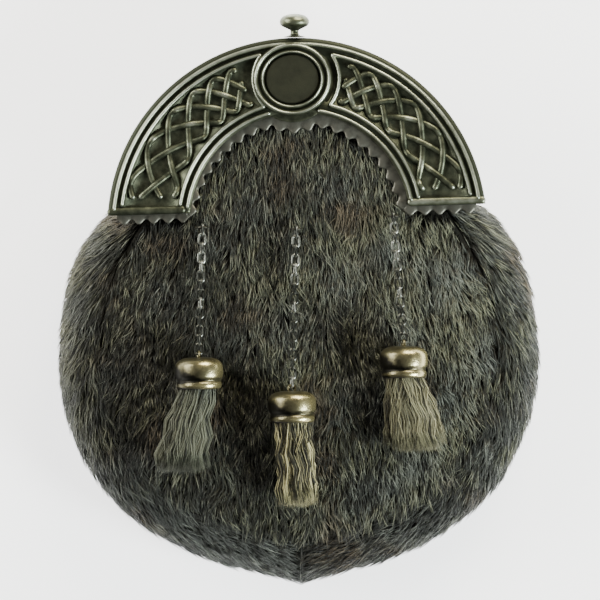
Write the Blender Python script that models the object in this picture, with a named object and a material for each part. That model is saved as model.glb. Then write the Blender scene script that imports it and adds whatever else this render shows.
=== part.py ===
"""A sporran pouch: a hollow bag of fur-on hide under a cast metal arch, with three hair tassels on chains.

It lies on its leather back. The script's sizes are millimetres, turned into metres as each mesh is made:
+X to the right of the front view, +Y up towards the finial, +Z out of the front.
"""

import math

import bmesh
import bpy
import numpy as np
from mathutils import Matrix, Vector

MM = 0.001
GAP = 0.35  # left between neighbouring pieces

# Outline of the fur bag in the front view, as reaches from the bag's centre; the angle runs from the
# pointed tip, 0, up to where the fur goes in behind the cantle.
BAG_CENTRE_Y = -20.0
OUTLINE = [
    # angle, rim of the fur, front seam
    (0, 101.1, 79.3),
    (5, 98.9, 79.0),
    (13, 97.8, 79.2),
    (30, 99.4, 80.4),
    (45, 102.0, 82.4),
    (62, 103.3, 83.8),
    (80, 102.6, 84.2),
    (95, 101.2, 84.0),
    (116, 101.0, 84.2),
    (127, 97.6, 84.4),
    (137, 95.0, 84.4),
]
OUTLINE_TOP = 130
FUR_TOP_Y = 40.0  # the gusset's upper ends, behind the cantle's feet

# Cross-section of the gusset, from the turned-in hem on the back to the front seam. Share is how far in
# from the rim towards the seam.
GUSSET_SECTION = [
    # share, depth
    (0.66, 0.0),
    (0.30, 0.0),
    (0.10, 4.2),
    (0.00, 11.5),
    (0.04, 20.0),
    (0.28, 28.0),
    (0.62, 33.4),
    (1.00, 36.6),
]
GUSSET_COLUMNS = 21
GUSSET_LINING_ROWS = [0, 1, 4, 7]  # the rows that the plain inner side needs
HIDE = 2.6  # thickness of fur-on hide
LEATHER = 1.8

# Fur lies in overlapping locks: each stands up and leans the way that the hair is combed.
LOCK_RISE = 1.9
LOCK_LEAN = 0.34  # share of a lock's length
LOCK_SPREAD = 0.06  # on the front they also lean a little outwards

# Front panel
PANEL_DEPTH = 41.3
PANEL_EDGE_DEPTH = 36.9
PANEL_COLUMNS = 14
PANEL_ROWS = 13
PANEL_LAST_Y = -96.5
PANEL_ARCH_ROWS = 5
PANEL_ARCH_RADIUS = 52.0
PANEL_SHOULDER_Y = 36.0
PANEL_SHOULDER_FALL = 12.0  # over this height its edge comes up to meet the cantle
PANEL_RADIUS = 84.0
PRESSED_RADIUS = 16.5  # the fur lies flat this far round a cap and a staple
PANEL_FLAT = 0.78  # inside this share of the panel its lining side is nearly flat

# Cantle: an arch with a turned-down outer edge, on two flat feet. It sits on the bag a little turned.
ARCH_Y = 30.3
ARCH_STEPS = 24
CANTLE_LEAN = 1.1  # degrees to the left
FOOT_Y = 38.0
FOOT_BAR_ENDS = (47.0, 80.4)
FOOT_BAR_SECTION = [
    # height over the foot line, depth
    (-0.2, 43.2),
    (-0.2, 46.6),
    (0.8, 47.1),
    (2.6, 47.1),
    (3.2, 46.2),
    (3.2, 43.2),
]
CANTLE_SECTION = [
    # radius, depth: outer edge, two beads, floor, two beads, back
    (80.2, 38.4),
    (80.6, 45.6),
    (78.5, 47.9),
    (76.5, 46.2),
    (74.7, 47.8),
    (73.3, 45.4),
    (51.7, 45.4),
    (50.3, 47.6),
    (49.1, 46.3),
    (48.0, 47.2),
    (47.2, 43.4),
    (77.2, 43.4),
    (77.6, 38.4),
]
CANTLE_BACK = 43.4

# Raised interlace: a plait of four strands, as a net of square pits between them
PLAIT_INNER = 52.2
PLAIT_OUTER = 72.8
PLAIT_ACROSS = 4
PLAIT_ALONG = 10
PLAIT_FROM = 13.5  # degrees up from the arch's springing
PLAIT_TO = 69.5
PLAIT_TOP = 47.2
PLAIT_PIT = 1.5
PLAIT_ROOT = 44.0  # its underside, inside the arch's floor
STRAND = 2.1

BOSS_Y = 93.3
BOSS_SQUASH = 0.92  # its rings and disc are a little wider than high
BOSS_SIDES = 18
DISC_SECTION = [
    # depth, radius: the plain disc, seated inside the first ring
    (46.35, 0.0),
    (46.35, 11.6),
    (47.2, 11.6),
    (47.6, 11.0),
    (47.6, 0.0),
]
BOSS_SECTION = [
    # depth, radius: recess for the disc, two rings
    (46.0, 0.0),
    (46.0, 12.2),
    (48.6, 12.9),
    (46.9, 14.3),
    (48.8, 16.0),
    (45.0, 17.0),
    (44.0, 17.0),
    (44.0, 0.0),
]
BOSS_BED = [(45.5, 0.0), (45.5, 16.8), (50.0, 16.8), (50.0, 0.0)]
LOBE_SECTION = [
    # depth, radius: the plate under the boss, a lobe on the arch's inner edge
    (45.7, 0.0),
    (45.7, 16.9),
    (45.1, 17.5),
    (43.4, 17.5),
    (43.4, 0.0),
]

# Scalloped plate behind the cantle
SCALLOP_PITCH = 6.3
SCALLOP_DEPTH = 2.0
SCALLOP_TIP_RADIUS = 43.2
SCALLOP_LOBE_RADIUS = 23.2
SCALLOP_FOOT_Y = 33.8
SCALLOP_OUTER_RADIUS = 76.8
SCALLOP_PLATE = (41.8, 43.1)

# Turned finial, from its top down
KNOB_TOP_Y = 121.1
KNOB_DEPTH = 43.4
KNOB_SECTION = [
    # drop, radius
    (0.0, 0.0),
    (0.3, 3.4),
    (1.6, 5.5),
    (3.4, 6.25),
    (5.3, 5.3),
    (6.6, 2.9),
    (7.2, 1.75),
    (9.0, 1.75),
    (9.6, 3.0),
    (9.8, 4.3),
    (9.9, 0.0),
]

# Leather parts
ARC_STEP = 10.0  # degrees between the points of a round edge
WALL_RADIUS = 75.4
WALL_DEPTHS = (5.4, 41.4)
BACK_DEPTHS = (3.2, 5.0)
BACK_ARCH_RADIUS = 76.4
BACK_INSET = 7.2
MOUTH_RADIUS = 50.0
MOUTH_Y = 38.0
FLAP_DEPTHS = (1.3, 2.9)
FLAP_RADIUS = 55.0
FLAP_TONGUE = 30.0
STUD_Y = 8.0
STUD_SECTION = [
    # depth, radius
    (0.05, 0.0),
    (0.05, 3.6),
    (0.5, 5.4),
    (0.95, 5.6),
    (0.95, 0.0),
]
LOOP_X = 62.0
LOOP_WIDTH = 10.0
LOOP_PROFILE = [
    # height, depth: a strip that stands clear of the back between its two sewn ends
    (41.0, 2.9),
    (41.0, 1.5),
    (44.0, 0.0),
    (60.0, 0.0),
    (63.0, 1.5),
    (63.0, 2.9),
    (59.6, 2.9),
    (58.2, 1.3),
    (45.8, 1.3),
    (44.4, 2.9),
]

# Chains: round wire links, each a quarter turn from the next
WIRE = 1.05
LINK_PITCH = 3.92
LINK_WIDTH = 4.0
LINK_BITE = 0.24  # how far fused links sink into each other
LINK_LENGTH = LINK_PITCH + 2 * WIRE - LINK_BITE
LINK_BENDS = 5  # points round each end of a link
LINK_ROLL = 75.0  # the first link stands nearly on edge, and the next lies nearly flat
WIRE_SIDES = 5
CHAIN_DEPTH = 45.8  # the middle of a chain where it lies on the fur
CHAIN_HANG = LINK_LENGTH / 2 - 1.5 * WIRE - 0.25  # from a link's middle to the wire that it hangs from
STAPLE_HALF_WIDTH = 2.1
STAPLE_BEND = [
    # out from its middle, below the chain's line
    (2.1, 1.15),
    (1.3, 0.15),
]

# Tassels, hung from the chains
CAP_DEPTH = 52.3
CAP_SIDES = 12
CAP_SECTION = [
    # drop, radius: dome, belly, groove, bottom bead, then up inside
    (0.0, 0.0),
    (0.2, 5.2),
    (1.4, 8.6),
    (4.2, 10.2),
    (8.4, 10.0),
    (9.8, 9.0),
    (11.3, 9.6),
    (13.2, 9.2),
    (13.2, 8.3),
    (4.4, 8.2),
    (4.0, 0.0),
]
CAP_MIDDLE = 6.6  # drop of its middle
EYE_RADIUS = 1.5
EYE_RISE = 1.0  # the eye's middle above the cap
EYE_BENDS = 8
HAIR_LOCKS = 10
HAIR_HEAD_DROP = 4.7
HAIR_HEAD_RADIUS = 7.6
HAIR_GROOVE = 0.86  # radius between two locks, as a share of that on them
HAIR_TIP = 2.2  # how far a lock's tip reaches past the gaps beside it
TASSELS = [
    # name, staple x, staple y, cap x, cap y, hair end x, hair end y, half-width of the hair's end
    ("left", -40.2, 30.9, -42.3, -24.2, -48.2, -74.4, 15.6),
    ("middle", -0.4, 29.6, -3.1, -38.9, -0.8, -89.2, 11.0),
    ("right", 40.9, 34.6, 44.4, -20.5, 49.2, -66.6, 15.2),
]
HAIR_SECTION = [
    # share of the way down, share of the spread, half-depth, sink towards the fur
    (0.00, 0.00, 7.6, 0.00),
    (0.21, 0.00, 7.6, 0.02),
    (0.44, 0.45, 7.2, 0.32),
    (0.72, 0.82, 5.8, 0.60),
    (0.97, 1.00, 4.4, 1.00),
]
HAIR_END_DEPTH = 47.9

FINISHES = {
    # colour, roughness, metallic
    "pewter": ((0.105, 0.105, 0.075), 0.38, 0.9),
    "dark_disc": ((0.045, 0.05, 0.032), 0.55, 0.7),
    "grey_metal": ((0.16, 0.16, 0.14), 0.42, 0.85),
    "aged_brass": ((0.21, 0.19, 0.11), 0.34, 0.9),
    "fur": ((0.042, 0.043, 0.034), 0.85, 0.0),
    "tassel_hair": ((0.11, 0.11, 0.075), 0.8, 0.0),
    "black_leather": ((0.02, 0.018, 0.016), 0.55, 0.0),
}


def smooth(table, at):
    """Values of a table's later columns at positions along its first one, by a cubic through the rows."""
    rows = np.array(table, float)
    stops, values = rows[:, 0], rows[:, 1:]
    slopes = np.gradient(values, stops, axis=0)
    at = np.clip(np.atleast_1d(np.asarray(at, float)), stops[0], stops[-1])
    low = np.clip(np.searchsorted(stops, at, side="right") - 1, 0, len(stops) - 2)
    span = (stops[low + 1] - stops[low])[:, None]
    t = (at - stops[low])[:, None] / span
    ends = (2 * t**3 - 3 * t**2 + 1) * values[low] + (3 * t**2 - 2 * t**3) * values[low + 1]
    return ends + span * ((t**3 - 2 * t**2 + t) * slopes[low] + (t**3 - t**2) * slopes[low + 1])


def on_bag(angle, reach):
    """Front-view point at an angle in degrees round from the tip, positive to the right."""
    turn = np.radians(angle)
    return np.stack([reach * np.sin(turn), BAG_CENTRE_Y - reach * np.cos(turn)], -1)


def on_arch(angle, radius):
    """Front-view point on a circle of the arch, with the angle in degrees up from the right foot."""
    turn = np.radians(angle)
    return np.stack([radius * np.cos(turn), ARCH_Y + radius * np.sin(turn)], -1)


def springing(radius, height=FOOT_Y):
    """Angle at which a circle of the arch stands at this height, in degrees."""
    return np.degrees(np.arcsin((height - ARCH_Y) / radius))


def turn_at(reach, height):
    """Angle round the bag, in degrees, at which a circle of this reach comes up to a height."""
    return 180 - math.degrees(math.acos((height - BAG_CENTRE_Y) / reach))


def arc(radius, first, last):
    """Points along a circle of the arch, no more than ARC_STEP degrees apart."""
    steps = math.ceil(abs(last - first) / ARC_STEP)
    return [tuple(on_arch(angle, radius)) for angle in np.linspace(first, last, steps + 1)]


def panel_depth(x, y):
    """The front panel's domed surface without its fur: flat in the middle, falling to the seam all round."""
    across = np.clip(np.hypot(x, y - BAG_CENTRE_Y) / PANEL_RADIUS, 0, 1)
    below = np.clip((PANEL_SHOULDER_Y - y) / PANEL_SHOULDER_FALL, 0, 1)
    return PANEL_DEPTH - (PANEL_DEPTH - PANEL_EDGE_DEPTH) * across**5 * below


def finish(name):
    """The material of this name, made when it is first asked for."""
    material = bpy.data.materials.get(name)
    if material:
        return material
    colour, roughness, metallic = FINISHES[name]
    material = bpy.data.materials.new(name)
    material.use_nodes = True
    shader = material.node_tree.nodes["Principled BSDF"]
    shader.inputs["Base Color"].default_value = (*colour, 1.0)
    shader.inputs["Roughness"].default_value = roughness
    shader.inputs["Metallic"].default_value = metallic
    material.diffuse_color = (*colour, 1.0)
    return material


def piece(name, points, faces, finish_name, smooth_angle=35):
    """A named object from points in millimetres and faces, with every face turned outwards."""
    mesh = bpy.data.meshes.new(name)
    mesh.from_pydata([tuple(p) for p in np.asarray(points, float) * MM], [], faces)
    build = bmesh.new()
    build.from_mesh(mesh)
    bmesh.ops.recalc_face_normals(build, faces=build.faces)
    build.to_mesh(mesh)
    build.free()
    mesh.shade_smooth()
    mesh.set_sharp_from_angle(angle=math.radians(smooth_angle))
    mesh.materials.append(finish(finish_name))
    thing = bpy.data.objects.new(name, mesh)
    bpy.context.scene.collection.objects.link(thing)
    return thing


def strips(rows, columns, start=0, closed_rows=False, closed_columns=False):
    """Four-sided faces of a grid of points stored row after row."""
    faces = []
    for row in range(rows if closed_rows else rows - 1):
        for column in range(columns if closed_columns else columns - 1):
            here, above = start + row * columns, start + (row + 1) % rows * columns
            right = (column + 1) % columns
            faces.append((here + column, here + right, above + right, above + column))
    return faces


def ring_stack(sections):
    """Points and faces of a solid through rings with equal numbers of points, closed at both ends.

    A ring whose points all meet becomes one point, so that no face has an empty edge.
    """
    points, faces, previous = [], [], None
    for section in sections:
        section = np.asarray(section, float)
        count = len(section)
        if np.ptp(section, axis=0).max() < 1e-6:
            ring = [len(points)] * count
            points.append(section[0])
        else:
            ring = list(range(len(points), len(points) + count))
            points.extend(section)
        for k in range(count if previous else 0):
            corners = (previous[k], previous[(k + 1) % count], ring[(k + 1) % count], ring[k])
            faces.append(tuple(dict.fromkeys(corners)))
        if previous is None and len(set(ring)) > 1:
            faces.append(tuple(reversed(ring)))
        previous = ring
    if len(set(previous)) > 1:
        faces.append(tuple(previous))
    return points, faces


def turned(name, section, sides, centre, axis, finish_name, squash=1.0):
    """A turned solid: rows of (distance along the axis, radius) round an axis, down or out, through centre.

    Squash is the height of one that faces out, as a share of its width.
    """
    centre = np.array(centre, float)
    rings = []
    for along, radius in section:
        turn = (np.arange(sides) + 0.5) * 2 * np.pi / sides
        if axis == "down":
            ring = np.stack([radius * np.cos(turn), np.full(sides, -along), radius * np.sin(turn)], -1)
        else:
            across, up = radius * np.cos(turn), squash * radius * np.sin(turn)
            ring = np.stack([across, up, np.full(sides, along)], -1)
        rings.append(centre + ring)
    return piece(name, *ring_stack(rings), finish_name)


def plate(name, outline, low, high, finish_name):
    """A flat plate between two depths, from its outline in the front view."""
    count = len(outline)
    points = [(x, y, depth) for depth in (low, high) for x, y in outline]
    faces = [tuple(range(count)), tuple(range(count, 2 * count))]
    faces += strips(2, count, closed_columns=True)
    return piece(name, points, faces, finish_name, 30)


def combine(whole, *others, how="UNION"):
    """Joins other solids to the first, or cuts them from it, and takes them away."""
    for other in others:
        step = whole.modifiers.new("combine", "BOOLEAN")
        step.operation = how
        step.solver = "EXACT"
        step.object = other
        graph = bpy.context.evaluated_depsgraph_get()
        result = bpy.data.meshes.new_from_object(whole.evaluated_get(graph))
        whole.modifiers.clear()
        whole.data = result
        bpy.data.objects.remove(other)
    whole.data.shade_smooth()
    whole.data.set_sharp_from_angle(angle=math.radians(35))
    return whole


def wire_rings(path, radius, sides, closed, up=(0, 0, 1)):
    """Rings of round wire about a path, square to it."""
    path = np.asarray(path, float)
    if closed:
        along = np.roll(path, -1, 0) - np.roll(path, 1, 0)
    else:
        along = np.gradient(path, axis=0)
    along /= np.linalg.norm(along, axis=1)[:, None]
    side = np.cross(along, up)
    side /= np.linalg.norm(side, axis=1)[:, None]
    over = np.cross(side, along)
    turn = np.arange(sides) * 2 * np.pi / sides
    offset = np.cos(turn)[None, :, None] * side[:, None] + np.sin(turn)[None, :, None] * over[:, None]
    return path[:, None] + radius * offset


def closed_wire(name, path, radius, sides, up, finish_name):
    """A ring of round wire, such as a link or an eye."""
    rings = wire_rings(path, radius, sides, True, up)
    faces = strips(len(path), sides, closed_rows=True, closed_columns=True)
    return piece(name, rings.reshape(-1, 3), faces, finish_name)


def gusset(side, sign):
    """One of the two strips of the bag's bulging side wall, from the seam at the tip up to the cantle's foot.

    Its fur stands on it in leaning locks.
    """
    step = np.linspace(0, sign, GUSSET_COLUMNS + 1)
    outer = np.zeros((len(GUSSET_SECTION), len(step), 3))
    top_rim, top_seam = smooth(OUTLINE, OUTLINE_TOP)[0]
    for row, (share, depth) in enumerate(GUSSET_SECTION):
        angle = step * turn_at(top_rim + share * (top_seam - top_rim), FUR_TOP_Y)
        rim, seam = smooth(OUTLINE, np.abs(angle)).T
        outer[row, :, :2] = on_bag(angle, rim + share * (seam - rim))
        outer[row, :, 2] = depth
    outer[:, 0, 0] = sign * GAP / 2
    outer[:, -1, 1] = FUR_TOP_Y

    along = np.gradient(outer, axis=1)
    normal = sign * np.cross(along, np.gradient(outer, axis=0))
    normal /= np.linalg.norm(normal, axis=2)[:, :, None]
    normal[:, 0, 0] = normal[:, -1, 1] = 0  # the cut ends stay flat
    inner = outer - HIDE * normal
    inner[-1] = outer[-1] - (0, 0, HIDE)  # a straight edge at the seam

    row, column = np.indices(outer.shape[:2])
    off_edges = (row > 1) & (row < len(GUSSET_SECTION) - 1) & (column > 1) & (column < GUSSET_COLUMNS - 1)
    lock = off_edges & ((row + column) % 2 == 0)
    outer[lock] += LOCK_RISE * normal[lock] - LOCK_LEAN * 2 * along[lock]

    rows = np.concatenate([outer, inner[GUSSET_LINING_ROWS][::-1]])
    total, count = rows.shape[:2]
    faces = strips(total, count, closed_rows=True)
    faces.append(tuple(k * count for k in range(total)))
    faces.append(tuple(k * count + count - 1 for k in reversed(range(total))))
    piece(f"gusset_{side}", rows.reshape(-1, 3), faces, "fur", 25)


def front_panel():
    """The domed front of the bag: down from behind the arch to the seam, with its fur in leaning locks."""
    seam_top = smooth(OUTLINE, OUTLINE_TOP)[0, 1] - GAP
    edge = [on_arch(rise, PANEL_ARCH_RADIUS) for rise in np.linspace(78, 9, PANEL_ARCH_ROWS)]
    for y in np.linspace(PANEL_SHOULDER_Y, PANEL_LAST_Y, PANEL_ROWS):
        angle = turn_at(seam_top, y)
        edge.append(on_bag(angle, smooth(OUTLINE, angle)[0, 1] - GAP))
    edge = np.array(edge)
    share = np.linspace(-1, 1, PANEL_COLUMNS + 1)
    surface = np.zeros((len(edge), len(share), 3))
    surface[:, :, 0] = edge[:, :1] * share
    surface[:, :, 1] = edge[:, 1:]
    surface[:, :, 2] = panel_depth(surface[:, :, 0], surface[:, :, 1])
    row, column = np.indices(surface.shape[:2])
    inside = (row > 0) & (row < len(edge) - 1) & (column > 0) & (column < PANEL_COLUMNS)
    x, y = surface[:, :, 0], surface[:, :, 1]
    clear = (y < SCALLOP_FOOT_Y - 8) | (np.hypot(x, y - ARCH_Y) < SCALLOP_TIP_RADIUS - 9)
    for _name, staple_x, staple_y, cap_x, cap_y, *_hair in TASSELS:
        clear &= np.hypot(x - cap_x, y - cap_y + CAP_MIDDLE) > PRESSED_RADIUS
        clear &= np.hypot(x - staple_x, y - staple_y) > PRESSED_RADIUS
    lock = inside & clear & ((row + column) % 2 == 0)
    drop = np.gradient(y, axis=0)
    surface[lock, 2] += LOCK_RISE
    surface[lock, 1] += LOCK_LEAN * 2 * drop[lock]
    surface[lock, 0] -= LOCK_SPREAD * drop[lock] * np.sign(x[lock])

    rows, count = surface.shape[:2]
    ends = [(0, ARCH_Y + PANEL_ARCH_RADIUS), (0, on_bag(0, smooth(OUTLINE, 0)[0, 1] - GAP)[1])]
    points = list(surface.reshape(-1, 3)) + [(*end, panel_depth(*end)) for end in ends]
    head, foot = rows * count, rows * count + 1
    last_row = (rows - 1) * count
    faces = strips(rows, count)
    faces += [(k, k + 1, head) for k in range(count - 1)]
    faces += [(last_row + k, last_row + k + 1, foot) for k in range(count - 1)]

    left = [k * count for k in range(rows)]
    right = [k * count + count - 1 for k in reversed(range(rows))]
    border = [head, *left, foot, *right]
    rim = np.array([points[k] for k in border])
    flat = PANEL_FLAT * rim + (1 - PANEL_FLAT) * np.array([0, rim[:, 1].mean(), 0])
    flat[:, 2] = panel_depth(flat[:, 0], flat[:, 1])
    for ring in (rim, flat):
        points.extend(ring - (0, 0, HIDE))
    middle = len(points)
    points.append((0, rim[:, 1].mean(), PANEL_DEPTH - HIDE))
    around = len(border)
    start = middle - 2 * around
    for k, here in enumerate(border):
        after = (k + 1) % around
        faces.append((here, border[after], start + after, start + k))
        faces.append((start + k, start + after, start + around + after, start + around + k))
        faces.append((start + around + k, start + around + after, middle))
    piece("front_panel", points, faces, "fur", 25)


def top_gusset():
    """The leather wall that closes the bag behind the arch."""
    start = springing(WALL_RADIUS, FUR_TOP_Y + GAP)
    low, high = WALL_DEPTHS
    sides = zip(arc(WALL_RADIUS, start, 180 - start), arc(WALL_RADIUS - LEATHER, start, 180 - start))
    rings = np.array([[(*out, low), (*out, high), (*inside, high), (*inside, low)] for out, inside in sides])
    for end in (0, -1):
        rings[end, :, 1] = FUR_TOP_Y + GAP
    piece("top_gusset", *ring_stack(rings), "black_leather")


def back_panel():
    """The leather back, tucked inside the gusset's hem, with the mouth cut in it as a half round."""
    end = turn_at(smooth(OUTLINE, OUTLINE_TOP)[0, 0] - BACK_INSET, FUR_TOP_Y)
    outline = []
    for angle in np.linspace(-end, end, math.ceil(2 * end / ARC_STEP) + 1):
        outline.append(tuple(on_bag(angle, smooth(OUTLINE, abs(angle))[0, 0] - BACK_INSET)))
    start = springing(BACK_ARCH_RADIUS, FUR_TOP_Y + 2 * GAP)
    outline += arc(BACK_ARCH_RADIUS, start, 180 - start)
    low, high = BACK_DEPTHS
    corner = springing(MOUTH_RADIUS, MOUTH_Y)
    mouth = plate("mouth", arc(MOUTH_RADIUS, corner, 180 - corner), low - 1, high + 1, "black_leather")
    combine(plate("back_panel", outline, low, high, "black_leather"), mouth, how="DIFFERENCE")


def back_flap():
    """The flap over the mouth: round above, with a tongue below that the stud holds."""
    upper = arc(FLAP_RADIUS, 0, 180)
    tongue = [(-x, ARCH_Y - (y - ARCH_Y) * FLAP_TONGUE / FLAP_RADIUS) for x, y in upper[1:-1]]
    plate("back_flap", upper + tongue, *FLAP_DEPTHS, "black_leather")


def belt_loop(side, sign):
    """A leather strip sewn down at its two ends, for the belt chain to pass behind."""
    rings = []
    for edge in (-0.5, 0.5):
        x = sign * LOOP_X + edge * LOOP_WIDTH
        rings.append([(x, y, z) for y, z in LOOP_PROFILE])
    piece(f"belt_loop_{side}", *ring_stack(rings), "black_leather", 30)


def arch_ring():
    """The cantle's arch: one section carried from foot to foot, cut off level at both."""
    rings = []
    for k in range(ARCH_STEPS + 1):
        ring = []
        for radius, depth in CANTLE_SECTION:
            foot = springing(radius)
            angle = foot + (180 - 2 * foot) * k / ARCH_STEPS
            ring.append((*on_arch(angle, radius), depth))
        rings.append(ring)
    return piece("cantle", *ring_stack(rings), "pewter", 50)


def plait(side, sign):
    """A panel of interlace: a net of strands along the arch, with the gaps between them sunk as pits."""
    radii = np.linspace(PLAIT_INNER, PLAIT_OUTER, PLAIT_ACROSS + 1)
    angles = np.linspace(PLAIT_FROM, PLAIT_TO, PLAIT_ALONG + 1)
    build = bmesh.new()
    knots = {}  # where strands cross
    for across, radius in enumerate(radii):
        for along, angle in enumerate(angles):
            if (across + along) % 2 == 0:
                x, y = on_arch(angle, radius)
                knots[across, along] = build.verts.new((sign * x, y, PLAIT_TOP))
    for across in range(PLAIT_ACROSS + 1):
        for along in range(PLAIT_ALONG + 1):
            if (across + along) % 2:
                beside = [(across - 1, along), (across, along + 1), (across + 1, along), (across, along - 1)]
                build.faces.new([knots[k] for k in beside if k in knots])
    bmesh.ops.recalc_face_normals(build, faces=build.faces)
    if build.faces[:][0].normal.z < 0:
        bmesh.ops.reverse_faces(build, faces=build.faces)
    gaps = build.faces[:]
    walls = bmesh.ops.extrude_edge_only(build, edges=[e for e in build.edges if e.is_boundary])
    rim = [v for v in walls["geom"] if isinstance(v, bmesh.types.BMVert)]
    for vert in rim:
        vert.co.z = PLAIT_ROOT
    bmesh.ops.contextual_create(build, geom=[e for e in build.edges if e.is_boundary])
    bmesh.ops.inset_individual(build, faces=gaps, thickness=STRAND / 2, depth=-PLAIT_PIT)
    bmesh.ops.recalc_face_normals(build, faces=build.faces)
    mesh = bpy.data.meshes.new(f"plait_{side}")
    bmesh.ops.scale(build, vec=(MM, MM, MM), verts=build.verts)
    build.to_mesh(mesh)
    build.free()
    thing = bpy.data.objects.new(mesh.name, mesh)
    bpy.context.scene.collection.objects.link(thing)
    return thing


def foot_bar(side, sign):
    """The plain bar that closes the foot of the arch, from its inner edge to its outer one."""
    rings = []
    for x in FOOT_BAR_ENDS:
        rings.append([(sign * x, FOOT_Y + up, depth) for up, depth in FOOT_BAR_SECTION])
    return piece(f"foot_{side}", *ring_stack(rings), "pewter", 40)


def cantle():
    """The whole casting, fused: arch, lobe, boss rings, foot bars and interlace."""
    middle = (0, BOSS_Y, 0)
    lobe = turned("lobe", LOBE_SECTION, BOSS_SIDES, middle, "out", "pewter")
    bed = turned("bed", BOSS_BED, BOSS_SIDES, middle, "out", "pewter", BOSS_SQUASH)
    boss = turned("boss", BOSS_SECTION, BOSS_SIDES, middle, "out", "pewter", BOSS_SQUASH)
    parts = [boss]
    for side, sign in (("left", -1), ("right", 1)):
        parts += [foot_bar(side, sign), plait(side, sign)]
    return combine(combine(combine(arch_ring(), lobe), bed, how="DIFFERENCE"), *parts)


def boss_disc():
    """The plain disc in the middle of the boss."""
    return turned("boss_disc", DISC_SECTION, BOSS_SIDES, (0, BOSS_Y, 0), "out", "dark_disc", BOSS_SQUASH)


def lean(thing):
    """Turns a piece of the arch's metalwork about the arch's centre, to where it sits on the bag."""
    centre = Matrix.Translation((0, ARCH_Y * MM, 0))
    turn = Matrix.Rotation(math.radians(CANTLE_LEAN), 4, "Z")
    thing.data.transform(centre @ turn @ centre.inverted())


def scallops(path, inwards):
    """Scalloped edge along a path: each tooth is a notch and a blunt tip that stands out of the path."""
    path = np.asarray(path, float)
    steps = np.linalg.norm(np.diff(path, axis=0), axis=1)
    run = np.concatenate([[0], np.cumsum(steps)])
    teeth = round(run[-1] / SCALLOP_PITCH)
    edge = []
    for k in range(teeth):
        for share, stand in ((0.0, 0.0), (0.32, 1.0), (0.68, 1.0)):
            at = run[-1] * (k + share) / teeth
            here = np.array([np.interp(at, run, path[:, axis]) for axis in (0, 1)])
            out = inwards(here)
            edge.append(tuple(here + SCALLOP_DEPTH * stand * out))
    return edge


def scalloped_backplate():
    """The thin plate behind the cantle. Its scalloped edge shows round the arch, the boss and the feet."""
    base_radius = SCALLOP_TIP_RADIUS + SCALLOP_DEPTH
    lobe_radius = SCALLOP_LOBE_RADIUS - SCALLOP_DEPTH
    foot_line = SCALLOP_FOOT_Y + SCALLOP_DEPTH
    spring = springing(base_radius, foot_line)
    arch = on_arch(np.linspace(spring, 180 - spring, 61), base_radius)
    lobe_centre = np.array([0, BOSS_Y])
    lobe_bottom = BOSS_Y - np.sqrt(np.clip(lobe_radius**2 - arch[:, 0] ** 2, 0, None))
    arch[:, 1] = np.where(np.abs(arch[:, 0]) < lobe_radius, np.minimum(arch[:, 1], lobe_bottom), arch[:, 1])

    def into_opening(here):
        near_lobe = np.hypot(*(here - lobe_centre)) < lobe_radius + 0.2
        away = here - lobe_centre if near_lobe else np.array([0, ARCH_Y]) - here
        return away / np.linalg.norm(away)

    def down(_here):
        return np.array([0, -1.0])

    outer_foot = math.sqrt(SCALLOP_OUTER_RADIUS**2 - (foot_line - ARCH_Y) ** 2)
    outline = scallops([(outer_foot, foot_line), (arch[0, 0], foot_line)], down)
    outline += scallops(arch, into_opening)
    outline += scallops([(arch[-1, 0], foot_line), (-outer_foot, foot_line)], down)
    spring = springing(SCALLOP_OUTER_RADIUS, foot_line)
    outline += arc(SCALLOP_OUTER_RADIUS, 180 - spring, spring)[:-1]
    return plate("scalloped_backplate", outline, *SCALLOP_PLATE, "grey_metal")


def link_path(length):
    """The middle of a link's wire, lying flat: two bends joined by straight sides along Y."""
    bend_radius = (LINK_WIDTH - WIRE) / 2
    straight = (length - LINK_WIDTH) / 2
    turn = np.radians(np.linspace(0, 180, LINK_BENDS))
    upper = np.stack([bend_radius * np.cos(turn), bend_radius * np.sin(turn) + straight], -1)
    flat = np.concatenate([upper, -upper])
    return np.concatenate([flat, np.zeros((len(flat), 1))], 1)


def chain_line(tassel):
    """Middles of a chain's links: along the fur first, then up to the cap's eye."""
    _name, staple_x, staple_y, cap_x, cap_y = tassel[:5]
    eye = np.array([cap_x, cap_y + EYE_RISE + EYE_RADIUS, CAP_DEPTH])
    start = np.array([staple_x, staple_y - CHAIN_HANG, CHAIN_DEPTH])
    leaving = (start - eye) * (1, 1, 2)  # a parabola's slope where it ends
    end = eye + CHAIN_HANG * leaving / np.linalg.norm(leaving)
    share = np.linspace(0, 1, 200)
    line = start + (end - start) * share[:, None]
    line[:, 2] = start[2] + (end[2] - start[2]) * share**2
    run = np.concatenate([[0], np.cumsum(np.linalg.norm(np.diff(line, axis=0), axis=1))])
    at = np.linspace(0, run[-1], round(run[-1] / LINK_PITCH) + 1)
    return np.stack([np.interp(at, run, line[:, axis]) for axis in range(3)], -1)


def link_frame(direction, number):
    """Turns a flat link to lie along a chain, each one square to the one before it."""
    along = Vector(direction).normalized()
    roll = Matrix.Rotation(math.radians(LINK_ROLL + 90 * (number % 2)), 3, along)
    side = roll @ along.cross(Vector((0, 0, 1))).normalized()
    return np.array((side, along, side.cross(along))).T


def chain(tassel):
    """A cable chain, its links fused where they bear on each other."""
    centres = chain_line(tassel)
    pitch = np.linalg.norm(np.diff(centres, axis=0), axis=1).mean()
    flat = link_path(pitch + 2 * WIRE - LINK_BITE)
    links = []
    for k, (centre, direction) in enumerate(zip(centres, np.gradient(centres, axis=0))):
        turn = link_frame(direction, k)
        path = flat @ turn.T + centre
        links.append(closed_wire(f"link_{k}", path, WIRE / 2, WIRE_SIDES, turn[:, 2], "grey_metal"))
    whole = combine(*links)
    whole.name = f"chain_{tassel[0]}"


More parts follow.
